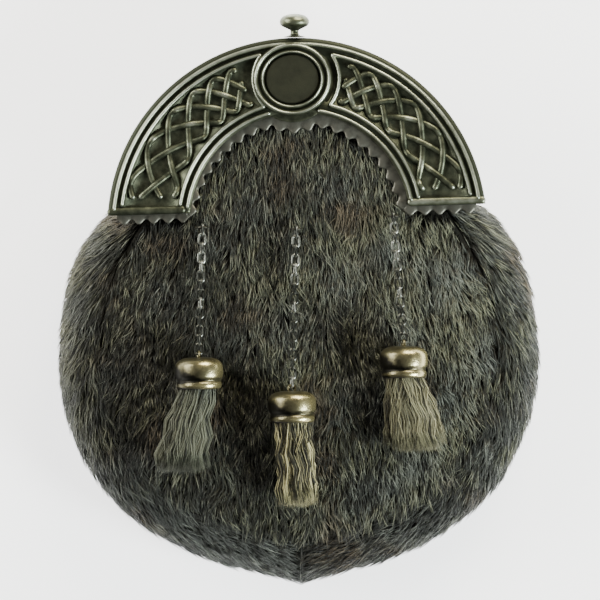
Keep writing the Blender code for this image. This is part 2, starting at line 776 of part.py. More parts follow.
def chain_staple(tassel):
    """The wire eye that a chain hangs from, its two legs down on the hide."""
    name, x, y = tassel[:3]
    ground = max(panel_depth(x - STAPLE_HALF_WIDTH, y), panel_depth(x + STAPLE_HALF_WIDTH, y)) + GAP
    half = [(STAPLE_HALF_WIDTH, ground)] + [(out, CHAIN_DEPTH - below) for out, below in STAPLE_BEND]
    path = [(x - out, y, z) for out, z in half] + [(x + out, y, z) for out, z in reversed(half)]
    rings = wire_rings(path, WIRE / 2, WIRE_SIDES, False, (0, 1, 0))
    rings[0, :, 2] = rings[-1, :, 2] = ground
    piece(f"chain_staple_{name}", *ring_stack(rings), "grey_metal")


def tassel_cap(tassel):
    """A turned metal cap, open below for the hair, with the eye on its dome that the last link holds."""
    name, _x, _y, cap_x, cap_y = tassel[:5]
    top = (cap_x, cap_y, CAP_DEPTH)
    cap = turned(f"tassel_cap_{name}", CAP_SECTION, CAP_SIDES, top, "down", "aged_brass")
    centres = chain_line(tassel)
    turn = link_frame((0, -1, 0), len(centres))
    angles = (np.arange(EYE_BENDS) + 0.5) * 2 * np.pi / EYE_BENDS
    flat = EYE_RADIUS * np.stack([np.cos(angles), np.sin(angles), 0 * angles], -1)
    path = flat @ turn.T + (cap_x, cap_y + EYE_RISE, CAP_DEPTH)
    combine(cap, closed_wire("eye", path, WIRE / 2, WIRE_SIDES, turn[:, 2], "aged_brass"))


def tassel_hair(tassel):
    """The tassel's hair: a round head inside the cap, opening into locks cut off nearly level."""
    name, _x, _y, cap_x, cap_y, end_x, end_y, end_half = tassel
    top_y = cap_y - HAIR_HEAD_DROP
    turn = np.arange(2 * HAIR_LOCKS) * np.pi / HAIR_LOCKS
    on_lock = np.arange(2 * HAIR_LOCKS) % 2 == 0
    rings = []
    for way, spread, half_depth, sink in HAIR_SECTION:
        half_width = HAIR_HEAD_RADIUS + (end_half - HAIR_HEAD_RADIUS) * spread
        groove = np.where(on_lock, 1, 1 - (1 - HAIR_GROOVE) * min(1, 3 * way))
        x = cap_x + (end_x - cap_x) * spread + half_width * groove * np.cos(turn)
        y = np.full(len(turn), top_y + (end_y - top_y) * way)
        z = CAP_DEPTH + (HAIR_END_DEPTH - CAP_DEPTH) * sink + half_depth * groove * np.sin(turn)
        rings.append(np.stack([x, y, z], -1))
    rings[-1][:, 1] += np.where(on_lock, 0, HAIR_TIP)
    middle = rings[-1].mean(axis=0) + (0, HAIR_TIP, 0)
    rings.append(np.tile(middle, (len(turn), 1)))
    piece(f"tassel_hair_{name}", *ring_stack(rings), "tassel_hair", 25)


def clear_scene():
    for thing in list(bpy.data.objects):
        bpy.data.objects.remove(thing)


def main():
    clear_scene()
    for side, sign in (("left", -1), ("right", 1)):
        gusset(side, sign)
    front_panel()
    top_gusset()
    back_panel()
    back_flap()
    turned("flap_stud", STUD_SECTION, 12, (0, STUD_Y, 0), "out", "grey_metal")
    for side, sign in (("left", -1), ("right", 1)):
        belt_loop(side, sign)
    for metalwork in (cantle(), boss_disc(), scalloped_backplate()):
        lean(metalwork)
    turned("top_knob", KNOB_SECTION, 12, (0, KNOB_TOP_Y, KNOB_DEPTH), "down", "pewter")
    for tassel in TASSELS:
        chain_staple(tassel)
        chain(tassel)
        tassel_cap(tassel)
        tassel_hair(tassel)


main()
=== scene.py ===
"""The finish of a fur sporran pouch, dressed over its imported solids.

Sizes in the script are millimetres, turned into metres as each mesh is made: +X to the right of the front
view, +Y up towards the knob, +Z out of the front.
"""

import math

import bpy
import numpy as np
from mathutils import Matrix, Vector


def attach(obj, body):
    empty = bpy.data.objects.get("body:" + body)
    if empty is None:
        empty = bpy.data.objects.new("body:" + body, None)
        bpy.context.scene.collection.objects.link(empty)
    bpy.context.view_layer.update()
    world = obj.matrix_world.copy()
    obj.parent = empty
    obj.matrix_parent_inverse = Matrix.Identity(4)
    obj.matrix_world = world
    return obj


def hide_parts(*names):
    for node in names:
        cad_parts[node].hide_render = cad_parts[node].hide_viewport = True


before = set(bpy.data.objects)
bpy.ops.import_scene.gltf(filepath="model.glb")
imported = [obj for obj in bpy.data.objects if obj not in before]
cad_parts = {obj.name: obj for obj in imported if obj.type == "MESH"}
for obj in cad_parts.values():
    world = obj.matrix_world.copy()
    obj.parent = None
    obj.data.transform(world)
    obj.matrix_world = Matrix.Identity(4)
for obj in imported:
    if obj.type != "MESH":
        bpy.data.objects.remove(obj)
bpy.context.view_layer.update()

# ------------------------------------------------------------------------------ The gusset's hide
# Two strips of fur-on hide, sewn together at the pointed tip. They make the bag's thick side wall: turned
# in to a flat hem behind, bulging at the rim, and sewn in front in a deep crease round the front panel.

MM = 0.001
BAG_CENTRE = -20.0
OUTLINE = [
    # degrees round from the tip, reach of the rim, reach of the front seam
    (0, 101.1, 79.3),
    (5, 98.9, 79.0),
    (13, 97.8, 79.2),
    (30, 99.4, 80.4),
    (45, 102.0, 82.4),
    (62, 103.3, 83.8),
    (80, 102.6, 84.2),
    (95, 101.2, 84.0),
    (116, 101.0, 84.2),
    (127, 97.6, 84.4),
    (137, 95.0, 84.4),
]
OUTLINE_TOP = 130.0  # degrees round from the tip, just past the fur's top
FUR_TOP = 40.0  # height of the fur's top edge, under the cantle's feet
HIDE_SECTION = [
    # step from hem to seam, share of the way in from rim to seam, depth
    (0, 0.66, 2.4),
    (1, 0.34, 2.6),
    (2, 0.16, 5.2),
    (3, 0.10, 11.8),
    (4, 0.13, 19.4),
    (5, 0.34, 26.4),
    (6, 0.64, 31.6),
    (7, 1.00, 34.4),
]
SEAM_WAY = HIDE_SECTION[-1][0]
TIP_GAP = 0.0015  # share of a strip's length kept clear of its twin at the tip
HIDE = 2.2
SKIN_DARK = (0.006, 0.006, 0.005, 1)
SKIN_PALE = (0.02, 0.019, 0.015, 1)


def smooth(table, at):
    """Later columns of a table at places along its first: the cubic whose slopes are those between rows."""
    rows = np.array(table, float)
    stops, values = rows[:, 0], rows[:, 1:]
    slopes = np.gradient(values, stops, axis=0)
    at = np.clip(np.asarray(at, float), stops[0], stops[-1])
    low = np.clip(np.searchsorted(stops, at, side="right") - 1, 0, len(stops) - 2)
    span = (stops[low + 1] - stops[low])[..., None]
    t = (at - stops[low])[..., None] / span
    ends = (2 * t**3 - 3 * t**2 + 1) * values[low] + (3 * t**2 - 2 * t**3) * values[low + 1]
    return ends + span * ((t**3 - 2 * t**2 + t) * slopes[low] + (t**3 - t**2) * slopes[low + 1])


def gusset_at(turn, way):
    """Point of the gusset at a turn from the tip, -1 to 1 at the cantle's feet, and a way from hem to seam.

    The section gives depth and share; the reach is the rim's, less that share of its way in to the seam.
    """
    share, depth = np.moveaxis(smooth(HIDE_SECTION, way), -1, 0)
    top_rim, top_seam = smooth(OUTLINE, OUTLINE_TOP)
    top_reach = top_rim + share * (top_seam - top_rim)
    angle = turn * (np.pi - np.arccos((FUR_TOP - BAG_CENTRE) / top_reach))
    rim, seam = np.moveaxis(smooth(OUTLINE, np.degrees(np.abs(angle))), -1, 0)
    reach = rim + share * (seam - rim)
    spot = np.broadcast_arrays(reach * np.sin(angle), BAG_CENTRE - reach * np.cos(angle), depth)
    return np.stack(spot, -1)


def grid_faces(rows, columns, wrap_rows=False, wrap_columns=False):
    """Four corners of each cell of a grid whose points are stored row after row."""
    row = np.arange(rows if wrap_rows else rows - 1)[:, None]
    column = np.arange(columns if wrap_columns else columns - 1)[None]
    after, beside = (row + 1) % rows * columns, (column + 1) % columns
    corners = [row * columns + column, row * columns + beside, after + beside, after + column]
    return np.stack(corners, -1).reshape(-1, 4)


def piece(name, points, faces, finish, **marks):
    """A smooth-shaded object from points in millimetres and arrays of faces. Marks are kept on its points."""
    mesh = bpy.data.meshes.new(name)
    sizes = np.concatenate([np.full(len(some), np.shape(some)[1]) for some in faces])
    corners = np.concatenate([np.asarray(some).ravel() for some in faces])
    mesh.vertices.add(len(points))
    mesh.vertices.foreach_set("co", (np.asarray(points, float) * MM).ravel())
    mesh.loops.add(len(corners))
    mesh.loops.foreach_set("vertex_index", corners)
    mesh.polygons.add(len(sizes))
    mesh.polygons.foreach_set("loop_start", np.concatenate([[0], np.cumsum(sizes)[:-1]]))
    mesh.update(calc_edges=True)
    mesh.shade_smooth()
    for mark, values in marks.items():
        mesh.attributes.new(mark, "FLOAT", "POINT").data.foreach_set("value", np.ravel(values))
    mesh.materials.append(finish)
    thing = bpy.data.objects.new(name, mesh)
    bpy.context.scene.collection.objects.link(thing)
    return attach(thing, "root")


class Look:
    """A socket of a material. Sums and products on it add Math nodes."""

    def __init__(self, tree, socket):
        self.tree = tree
        self.socket = socket

    def node(self, kind, settings, sockets, out=0):
        """Adds a node: its settings first, then its sockets' values or links."""
        made = self.tree.nodes.new("ShaderNode" + kind)
        for name, value in settings.items():
            setattr(made, name, value)
        for name, value in sockets.items():
            if isinstance(value, Look):
                self.tree.links.new(value.socket, made.inputs[name])
            else:
                made.inputs[name].default_value = value
        return Look(self.tree, made.outputs[out])

    def maths(self, operation, first, second):
        """A Math node on two values or sockets."""
        return self.node("Math", {"operation": operation}, {0: first, 1: second})

    def __add__(self, other):
        return self.maths("ADD", self, other)

    def __sub__(self, other):
        return self.maths("SUBTRACT", self, other)

    def __rsub__(self, other):
        return self.maths("SUBTRACT", other, self)

    def __mul__(self, other):
        return self.maths("MULTIPLY", self, other)

    def __pow__(self, other):
        return self.maths("POWER", self, other)

    __radd__ = __add__
    __rmul__ = __mul__

    def mark(self, name):
        """A value kept on the mesh's points."""
        return self.node("Attribute", {"attribute_name": name}, {}, out="Fac")

    def speckle(self, scale, detail=2.0, roughness=0.5):
        """Noise over the object, 0 to 1, with so many grains to the metre."""
        sockets = {"Vector": self, "Scale": scale, "Detail": detail, "Roughness": roughness}
        return self.node("TexNoise", {}, sockets)

    def between(self, low, high):
        """0 up to one value, 1 from another, and smooth between."""
        sockets = {"Value": self, "From Min": low, "From Max": high}
        return self.node("MapRange", {"interpolation_type": "SMOOTHSTEP"}, sockets)

    def mix(self, first, second):
        """One colour where this is 0, another where it is 1."""
        return self.node("Mix", {"data_type": "RGBA"}, {0: self, 6: first, 7: second}, out=2)

    def bump(self, distance):
        """A normal from this height, in metres of relief."""
        return self.node("Bump", {}, {"Height": self, "Distance": distance})


def new_finish(name, make, **fixed):
    """A material whose shader keeps the fixed sockets, with the rest given by make(object coordinates)."""
    material = bpy.data.materials.new(name)
    material.use_nodes = True
    tree = material.node_tree
    shader = tree.nodes["Principled BSDF"]
    for socket, value in fixed.items():
        shader.inputs[socket.replace("_", " ")].default_value = value
    place = Look(tree, tree.nodes.new("ShaderNodeTexCoord").outputs["Object"])
    for socket, look in make(place).items():
        tree.links.new(look.socket, shader.inputs[socket])
    return material


def hide_look(place):
    """Dark skin under the fur, seen only between the hairs."""
    grain = place.speckle(900, 3.0)
    return {"Base Color": grain.mix(SKIN_DARK, SKIN_PALE), "Normal": grain.bump(0.0006)}


HIDE_FINISH = new_finish("fur_hide", hide_look, Roughness=0.9, Specular_IOR_Level=0.05)


def walled(thing, thickness):
    """Gives a sheet its thickness, on the side away from its faces."""
    wall = thing.modifiers.new("wall", "SOLIDIFY")
    wall.thickness = thickness * MM
    wall.offset = -1.0
    return thing


for side, sign in (("left", -1), ("right", 1)):
    turns = np.linspace(TIP_GAP, 1, 90) * sign
    ways = np.linspace(0, SEAM_WAY, 40)
    hide_points = gusset_at(turns[None], ways[:, None]).reshape(-1, 3)
    hide_faces = grid_faces(len(ways), len(turns))
    if sign < 0:
        hide_faces = hide_faces[:, ::-1]
    hide = walled(piece(f"gusset_hide_{side}", hide_points, [hide_faces], HIDE_FINISH), HIDE)
    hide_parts(f"gusset_{side}")

# ------------------------------------------------------------------------------ The front's hide
# One domed piece of the same hide, its point at the bottom. Its top runs up behind the cantle, and below
# that its edge is sewn to the gusset all round.

ARCH_CENTRE = 30.3
FRONT_DEPTH = 39.2
FRONT_EDGE_DEPTH = 34.9
FRONT_RADIUS = 84.0
FRONT_SHOULDER = 36.0
FRONT_SHOULDER_FALL = 12.0
FRONT_ARCH = 52.0
FRONT_SEAM_GAP = 0.4
FRONT_TIP_GAP = 0.45


def front_depth(x, y):
    """The dome's depth: a fifth power of the share of the way out from the bag's centre takes it down."""
    across = np.clip(np.hypot(x, y - BAG_CENTRE) / FRONT_RADIUS, 0, 1.1)
    below = np.clip((FRONT_SHOULDER - y) / FRONT_SHOULDER_FALL, 0, 1)
    return FRONT_DEPTH - (FRONT_DEPTH - FRONT_EDGE_DEPTH) * across**5 * below


def seam_half_width(y):
    """Half the front's width at a height, read along the seam's curve and then along the arch."""
    angle = np.radians(np.linspace(0, OUTLINE_TOP + 5, 400))
    seam = smooth(OUTLINE, np.degrees(angle))[:, 1] - FRONT_SEAM_GAP
    bag = np.interp(y, BAG_CENTRE - seam * np.cos(angle), seam * np.sin(angle))
    arch = np.sqrt(np.clip(FRONT_ARCH**2 - (y - ARCH_CENTRE) ** 2, 0, None))
    return np.where(y < FRONT_SHOULDER, bag, np.minimum(arch, bag))


tip_y = BAG_CENTRE - OUTLINE[0][2] + FRONT_TIP_GAP
spacing = (1 - np.cos(np.linspace(0.03, np.pi - 0.03, 72))) / 2  # closer together at the tip and the top
heights = tip_y + (ARCH_CENTRE + FRONT_ARCH - tip_y) * spacing
across = np.linspace(-1, 1, 61)
front_x = seam_half_width(heights)[:, None] * across
front_y = np.broadcast_to(heights[:, None], front_x.shape)
front_points = np.stack([front_x, front_y, front_depth(front_x, front_y)], -1).reshape(-1, 3)
front_hide = piece("front_hide", front_points, [grid_faces(len(heights), len(across))], HIDE_FINISH)
walled(front_hide, HIDE)
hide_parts("front_panel")

# ------------------------------------------------------------------------------ The top wall
# A strip of black leather, 1.8 mm thick, bent round behind the cantle. It joins the cantle to the back and
# closes the bag above the fur.

WALL_RADIUS = 75.4
WALL_DEPTHS = (5.4, 41.4)
WALL_CLEAR = 0.4  # degrees between the strip's ends and the fur
LEATHER = 1.8
GAP = 0.35
LEATHER_DARK = (0.005, 0.0045, 0.004, 1)
LEATHER_WORN = (0.020, 0.018, 0.015, 1)


def unit(vectors):
    """The same directions with a length of one."""
    return vectors / np.maximum(np.linalg.norm(vectors, axis=-1, keepdims=True), 1e-9)


def tube_faces(rings, sides, closed=False):
    """Faces of a tube of rings, stored ring after ring: it closes on itself, or its ends are capped."""
    if closed:
        return [grid_faces(rings, sides, True, True)]
    loop = np.arange(sides)[None]
    return [grid_faces(rings, sides, wrap_columns=True), loop[:, ::-1], loop + sides * (rings - 1)]


def sweep(path, section):
    """A closed section carried along an open path: its first value goes left of travel, its second up.

    The section runs anticlockwise. It may have its own shape at each point of the path.
    """
    ahead = np.gradient(path, axis=0)
    left = unit(np.stack([-ahead[:, 1], ahead[:, 0], 0 * ahead[:, 0]], -1))
    section = np.broadcast_to(section, (len(path), *np.shape(section)[-2:]))
    points = path[:, None] + section[..., :1] * left[:, None] + section[..., 1:] * (0.0, 0.0, 1.0)
    return points.reshape(-1, 3), tube_faces(len(path), section.shape[1])


def arc(centre, radius, first, last, steps):
    """Points from one angle to another, in degrees anticlockwise from +X."""
    angle = np.radians(np.linspace(first, last, steps))
    return np.stack([centre[0] + radius * np.cos(angle), centre[1] + radius * np.sin(angle)], -1)


def arch_start(radius, height):
    """Degrees above level at which an arc about the arch's centre reaches a height."""
    return math.degrees(math.asin((height - ARCH_CENTRE) / radius))


def at_depth(flat, depth):
    """Points of a plane, put at a depth."""
    return np.concatenate([flat, np.full((len(flat), 1), float(depth))], 1)


def rounded_bar(width, low, high):
    """A rectangle with round corners as a section: its width across, from low to high."""
    radius = 0.5
    corners = [(width / 2, low, -90), (width / 2, high, 0), (-width / 2, high, 90), (-width / 2, low, 180)]
    parts = []
    for x, y, first in corners:
        centre = (x - radius * np.sign(x), y + radius * (1 if y == low else -1))
        parts.append(arc(centre, radius, first, first + 90, 4))
    return np.concatenate(parts)


def leather_look(place):
    """Black leather: pebbled grain under fine creases, rubbed brown-grey on its high places."""
    pebbles = {"Vector": place, "Scale": 1100.0, "Randomness": 1.0}
    grain = place.node("TexVoronoi", {"feature": "SMOOTH_F1"}, pebbles)
    crease = place.speckle(240, 4.0, 0.65)
    rubbed = place.speckle(45, 3.0).between(0.48, 0.75)
    colour = (rubbed * 0.7 + crease * 0.3).mix(LEATHER_DARK, LEATHER_WORN)
    roughness = 0.62 - rubbed * 0.16
    return {"Base Color": colour, "Roughness": roughness, "Normal": (grain * 0.6 + crease).bump(0.00025)}


LEATHER_FINISH = new_finish("black_leather", leather_look, Specular_IOR_Level=0.22)

wall_start = arch_start(WALL_RADIUS, FUR_TOP + GAP) + WALL_CLEAR
wall_path = at_depth(arc((0, ARCH_CENTRE), WALL_RADIUS - LEATHER / 2, wall_start, 180 - wall_start, 120), 0)
wall = piece("top_wall", *sweep(wall_path, rounded_bar(LEATHER, *WALL_DEPTHS)), LEATHER_FINISH)
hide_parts("top_gusset")

# ------------------------------------------------------------------------------ The leather back
# One flat piece of the same leather, tucked in under the fur's hem. Its mouth is a half round behind the
# cantle, bound with a doubled edge and a row of stitches.

BACK_OUTER = 3.2
BACK_INNER = 5.0
BACK_INSET = 7.2
BACK_ARCH_RADIUS = 76.4
BACK_STEPS = 240
MOUTH_BOTTOM = 38.0
MOUTH_RADIUS = 50.0
BACK_SECTION = [
    # share of the way in to the mouth, depth: round the edge, over the outer face, and back inside
    (0.0, 4.6),
    (0.0, 3.6),
    (0.006, BACK_OUTER),
    (0.3, BACK_OUTER),
    (0.6, BACK_OUTER),
    (0.93, BACK_OUTER),
    (0.945, 3.0),
    (0.985, 3.0),
    (1.0, 3.4),
    (1.0, 4.6),
    (0.985, BACK_INNER),
    (0.5, BACK_INNER),
    (0.006, BACK_INNER),
]
SEAM_SHARE = 0.90  # where the stitches run between the middle and the edge, or the edge and the mouth
STITCH = 2.4  # millimetres from one stitch to the next
STITCH_LENGTH = 0.72 * STITCH
STITCH_RISE = 0.34
THREAD_RADIUS = 0.26
THREAD_DARK = (0.03, 0.028, 0.024, 1)
THREAD_PALE = (0.06, 0.055, 0.045, 1)


def run_of(path):
    """Distance along a path at each of its points."""
    return np.concatenate([[0], np.cumsum(np.linalg.norm(np.diff(path, axis=0), axis=1))])


def path_at(path, at):
    """Points of a path at distances along it."""
    run = run_of(path)
    return np.stack([np.interp(at, run, values) for values in path.T], -1)


def evenly(path, count):
    """A closed path, again, at evenly spaced points."""
    path = np.concatenate([path, path[:1]])
    return path_at(path, np.linspace(0, run_of(path)[-1], count, endpoint=False))


def stitches(path, depth):
    """Threads laid end to end along a path on the outer face of leather: six-sided, each a low arch."""
    stations, sides = 5, 6
    first = np.arange(0.4, run_of(path)[-1] - STITCH, STITCH)
    at = first[:, None] + STITCH_LENGTH * np.linspace(0, 1, stations)
    rise = STITCH_RISE * np.sin(np.pi * np.linspace(0.05, 0.95, stations))
    middles = np.concatenate([path_at(path, at), np.broadcast_to(depth - rise, at.shape)[..., None]], -1)
    along = unit(np.gradient(middles, axis=1))
    side = unit(np.cross(along, (0.0, 0.0, 1.0)))
    turn = np.radians(np.arange(sides) * 360 / sides)[:, None]
    ring = np.cos(turn) * side[:, :, None] + np.sin(turn) * np.cross(side, along)[:, :, None]
    points = (middles[:, :, None] + ring * THREAD_RADIUS).reshape(-1, 3)
    start = (np.arange(len(first)) * stations * sides)[:, None, None]
    walls, first_end, last_end = tube_faces(stations, sides)
    ends = np.concatenate([first_end, last_end])
    faces = [(some[None, :, ::-1] + start).reshape(-1, some.shape[1]) for some in (walls, ends)]
    return points, faces


def thread_look(place):
    """Waxed linen thread, with its twist as fine speckles."""
    twist = place.speckle(2600, 2.0)
    return {"Base Color": twist.mix(THREAD_DARK, THREAD_PALE), "Normal": twist.bump(0.0001)}


THREAD_FINISH = new_finish("waxed_thread", thread_look, Roughness=0.7)

hem_degrees = np.linspace(-OUTLINE_TOP, OUTLINE_TOP, 160)
hem_reach = smooth(OUTLINE, np.abs(hem_degrees))[:, 0] - BACK_INSET
hem_angle = np.radians(hem_degrees)
back_bag = np.stack([hem_reach * np.sin(hem_angle), BAG_CENTRE - hem_reach * np.cos(hem_angle)], -1)
back_start = arch_start(BACK_ARCH_RADIUS, FUR_TOP + 2 * GAP)
back_arch = arc((0, ARCH_CENTRE), BACK_ARCH_RADIUS, back_start, 180 - back_start, 100)
back_outline = np.concatenate([back_bag[back_bag[:, 1] < FUR_TOP], back_arch])
mouth_start = arch_start(MOUTH_RADIUS, MOUTH_BOTTOM)
mouth_edge = arc((0, ARCH_CENTRE), MOUTH_RADIUS, mouth_start, 180 - mouth_start, 80)
tip_first = np.argmin(back_outline[:, 1])
back_ring = evenly(np.roll(back_outline, -tip_first, 0), BACK_STEPS)
mouth_sill = np.stack([np.linspace(0, mouth_edge[0, 0], 20), np.full(20, MOUTH_BOTTOM)], -1)
mouth_ring = evenly(np.concatenate([mouth_sill[:-1], mouth_edge, (mouth_sill * (-1, 1))[:0:-1]]), BACK_STEPS)
back_reach = mouth_ring - back_ring
back_rows = [at_depth(back_ring + share * back_reach, depth) for share, depth in BACK_SECTION]
back_points = np.stack(back_rows, 1).reshape(-1, 3)
back_faces = tube_faces(BACK_STEPS, len(BACK_SECTION), closed=True)
back = piece("leather_back", back_points, back_faces, LEATHER_FINISH)
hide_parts("back_panel")
mouth_seam = back_ring + SEAM_SHARE * back_reach
mouth_seam = np.concatenate([mouth_seam, mouth_seam[:1]])
piece("mouth_stitches", *stitches(mouth_seam, BACK_OUTER), THREAD_FINISH)

# ------------------------------------------------------------------------------ The flap
# It hangs outside the back and covers the mouth: a round of leather above, sewn to the back, and a tongue
# below whose tip a stud holds.

FLAP_RADIUS = 55.0
FLAP_TONGUE = 30.0
FLAP_OUTER = 1.32
FLAP_INNER = 2.9
FLAP_SEAM_DEPTH = 1.3
FLAP_STEPS = 200
FLAP_SECTION = [
    # share of the way out from the middle, depth: the inside, round the edge, a crease, the outside
    (0.002, FLAP_INNER),
    (0.5, FLAP_INNER),
    (0.985, 2.85),
    (1.0, 2.4),
    (1.0, 1.8),
    (0.985, 1.38),
    (0.96, 1.30),
    (0.945, 1.46),
    (0.93, FLAP_OUTER),
    (0.6, FLAP_OUTER),
    (0.3, FLAP_OUTER),
    (0.002, FLAP_OUTER),
]

flap_upper = arc((0, ARCH_CENTRE), FLAP_RADIUS, 0, 180, 90)
flap_lower = arc((0, 0), FLAP_RADIUS, 180, 360, 90) * (1, FLAP_TONGUE / FLAP_RADIUS) + (0, ARCH_CENTRE)
flap_ring = evenly(np.concatenate([flap_upper, flap_lower[1:-1]]), FLAP_STEPS)
flap_middle = np.array([0.0, ARCH_CENTRE])
flap_reach = flap_ring - flap_middle
flap_rows = [at_depth(flap_middle + share * flap_reach, depth) for share, depth in FLAP_SECTION]
flap_points = np.stack(flap_rows, 1).reshape(-1, 3)
flap_inside = np.arange(FLAP_STEPS)[None] * len(FLAP_SECTION)
flap_outside = flap_inside[:, ::-1] + len(FLAP_SECTION) - 1
flap_sides = grid_faces(FLAP_STEPS, len(FLAP_SECTION), wrap_rows=True)[:, ::-1]
flap_faces = [flap_sides, flap_inside, flap_outside]
flap = piece("leather_flap", flap_points, flap_faces, LEATHER_FINISH)
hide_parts("back_flap")
flap_seam = flap_middle + SEAM_SHARE * flap_reach
flap_seam = np.concatenate([flap_seam, flap_seam[:1]])
piece("flap_stitches", *stitches(flap_seam, FLAP_SEAM_DEPTH), THREAD_FINISH)

# ------------------------------------------------------------------------------ The belt loops
# Two straps that stand clear of the back between their sewn ends, for the chain that carries the pouch.

LOOP_X = 62.0
LOOP_HALF = 5.0
LOOP_STITCH_ROWS = (42.2, 61.8)
LOOP_OUTER = [
    # height, depth of the strap's outer face
    (41.0, 1.5),
    (42.0, 1.2),
    (44.0, 0.15),
    (46.0, 0.0),
    (52.0, 0.0),
    (58.0, 0.0),
    (60.0, 0.15),
    (62.0, 1.2),
    (63.0, 1.5),
]
LOOP_INNER = [
    # height, depth of its inner face, down on the back at the ends
    (41.0, 2.9),
    (44.0, 2.8),
    (45.8, 1.4),
    (48.0, 1.3),
    (52.0, 1.3),
    (56.0, 1.3),
    (58.2, 1.4),
    (60.0, 2.8),
    (63.0, 2.9),
]


def joined(*parts):
    """One mesh from many: points end to end, and faces numbered to match."""
    starts = np.cumsum([0] + [len(points) for points, _faces in parts])
    faces = [face + start for start, (_points, some) in zip(starts, parts) for face in some]
    return np.concatenate([points for points, _faces in parts]), faces


loop_heights = np.linspace(LOOP_OUTER[0][0], LOOP_OUTER[-1][0], 45)
loop_outer, loop_inner = smooth(LOOP_OUTER, loop_heights)[:, 0], smooth(LOOP_INNER, loop_heights)[:, 0]
middle, half = (loop_outer + loop_inner) / 2, (loop_inner - loop_outer) / 2
edge_x = LOOP_HALF * np.array([-1.0, -0.97, -0.9, 0.9, 0.97, 1.0])
edge_share = np.array([0.45, 0.82, 1.0, 1.0, 0.82, 0.45])[:, None]  # the strap is thinner at its edges
depth = np.concatenate([middle - edge_share * half, (middle + edge_share * half)[:, ::-1]], 1)
height = np.broadcast_to(np.concatenate([loop_heights, loop_heights[::-1]]), depth.shape)
loop_section = np.stack([height, depth], -1)
for side, sign in (("left", -1), ("right", 1)):
    path = at_depth(np.stack([sign * LOOP_X + edge_x, 0 * edge_x], -1), 0)
    loop = piece(f"leather_loop_{side}", *sweep(path, loop_section), LEATHER_FINISH)
    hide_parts(f"belt_loop_{side}")
    rows = []
    for row_y in LOOP_STITCH_ROWS:
        row = np.stack([sign * LOOP_X + np.linspace(-4, 4, 9), np.full(9, row_y)], -1)
        rows.append(stitches(row, smooth(LOOP_OUTER, [row_y])[0, 0]))
    piece(f"loop_stitches_{side}", *joined(*rows), THREAD_FINISH)

# ------------------------------------------------------------------------------ The flap's stud
# A low domed button through the tip of the tongue.

STUD_PLACE = (0.0, 8.0)
STUD_SECTION = [
    # step, depth, radius, wear
    (0, 0.95, 5.3, 0.0),
    (1, 0.75, 5.6, 0.2),
    (2, 0.45, 5.2, 0.8),
    (3, 0.20, 3.6, 0.9),
    (4, 0.08, 1.8, 0.8),
    (5, 0.05, 0.05, 0.7),
]


def turned(section, centre, sides=72, steps=4, downwards=False, squash=1.0):
    """A profile carried round an axis: along it by the section's depth, out from it by its radius.

    Between its rows the section is a smooth curve. The axis is +Z, or -Y for what hangs.
    """
    at = np.linspace(0, section[-1][0], steps * (len(section) - 1) + 1)
    along, radius, wear = smooth(section, at).T
    radius = np.maximum(radius, 0.02)
    angle = np.radians(np.arange(sides) * 360 / sides)
    across, up = np.outer(radius, np.cos(angle)), squash * np.outer(radius, np.sin(angle))
    level = np.broadcast_to(along[:, None], across.shape)
    if downwards:
        points = np.stack([across, -level, up], -1) + centre
    else:
        points = np.stack([across, up, level], -1) + (centre[0], centre[1], 0.0)
    return points.reshape(-1, 3), tube_faces(len(along), sides), np.repeat(wear, sides)


def metal_look(dark, middle, bright, rough):
    """Metal gone dark in its hollows and rubbed bright where it stands out, by the mesh's wear and light
    mark, which on some parts is painted light and shade.
    """

    def make(place):
        patch = place.speckle(260, 4.0, 0.6)
        worn_and_lit = place.mark("wear") + (patch - 0.5) * 0.9
        colour = worn_and_lit.between(0.5, 1.0).mix(worn_and_lit.between(0.0, 0.5).mix(dark, middle), bright)
        dulled, polished = 1.0 - worn_and_lit.between(-0.5, 0.3), worn_and_lit.between(0.3, 1.0)
        roughness = rough + dulled * 0.2 - polished * 0.08 + (patch - 0.5) * 0.12
        pits = place.speckle(1500, 3.0, 0.6)
        return {"Base Color": colour, "Roughness": roughness, "Normal": pits.bump(0.00006)}

    return make


GREY_DARK = (0.028, 0.027, 0.021, 1)
GREY_MIDDLE = (0.122, 0.119, 0.096, 1)
GREY_BRIGHT = (0.29, 0.29, 0.25, 1)
GREY_METAL = metal_look(GREY_DARK, GREY_MIDDLE, GREY_BRIGHT, 0.50)
GREY_FINISH = new_finish("dull_grey_metal", GREY_METAL, Metallic=0.85)
stud_points, stud_faces, stud_wear = turned(STUD_SECTION, STUD_PLACE)
stud = piece("button_stud", stud_points, stud_faces, GREY_FINISH, wear=stud_wear)
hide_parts("flap_stud")

# ------------------------------------------------------------------------------ Fur
# Guard hairs 5 to 15 mm long, near black at the root and olive grey at the tip, combed down in clumps that
# stand a little off the hide. On the gusset they sweep outwards and along the rim to the tip.

ROOT_COLOUR = (0.014, 0.014, 0.012, 1)
HAIR_OLIVE = (0.390, 0.390, 0.255, 1)
HAIR_GREY = (0.325, 0.340, 0.285, 1)
HAIR_BROWN = (0.300, 0.245, 0.165, 1)
HAIR_DARK = (0.036, 0.037, 0.034, 1)
FUR_WIDTHS = (0.56, 0.56 * 0.72)  # at the root and half way; the tip is a point
FRONT_CLUMP = 2.35  # millimetres between clumps
GUSSET_CLUMP = 2.45
HAIRS_TO_CLUMP = 7
FRONT_HAIR = 8.6
GUSSET_HAIR = 10.0
SIDE_OF_HAIR = np.radians([90, 210, 330])
ARCH_FUR_RADIUS = 47.5
FRONT_FUR_HALF = 86
FRONT_FUR_TOP = 78.0
FRONT_FUR_BOTTOM = -99.0
FUR_SPLIT = -24.0  # height at which the front's fur is parted in two pieces
FUR_FIRST_WAY = 0.35  # the gusset's fur starts this far from the hem, of seven steps to the seam
FUR_WAY_SPAN = 6.6  # and grows over this many of them
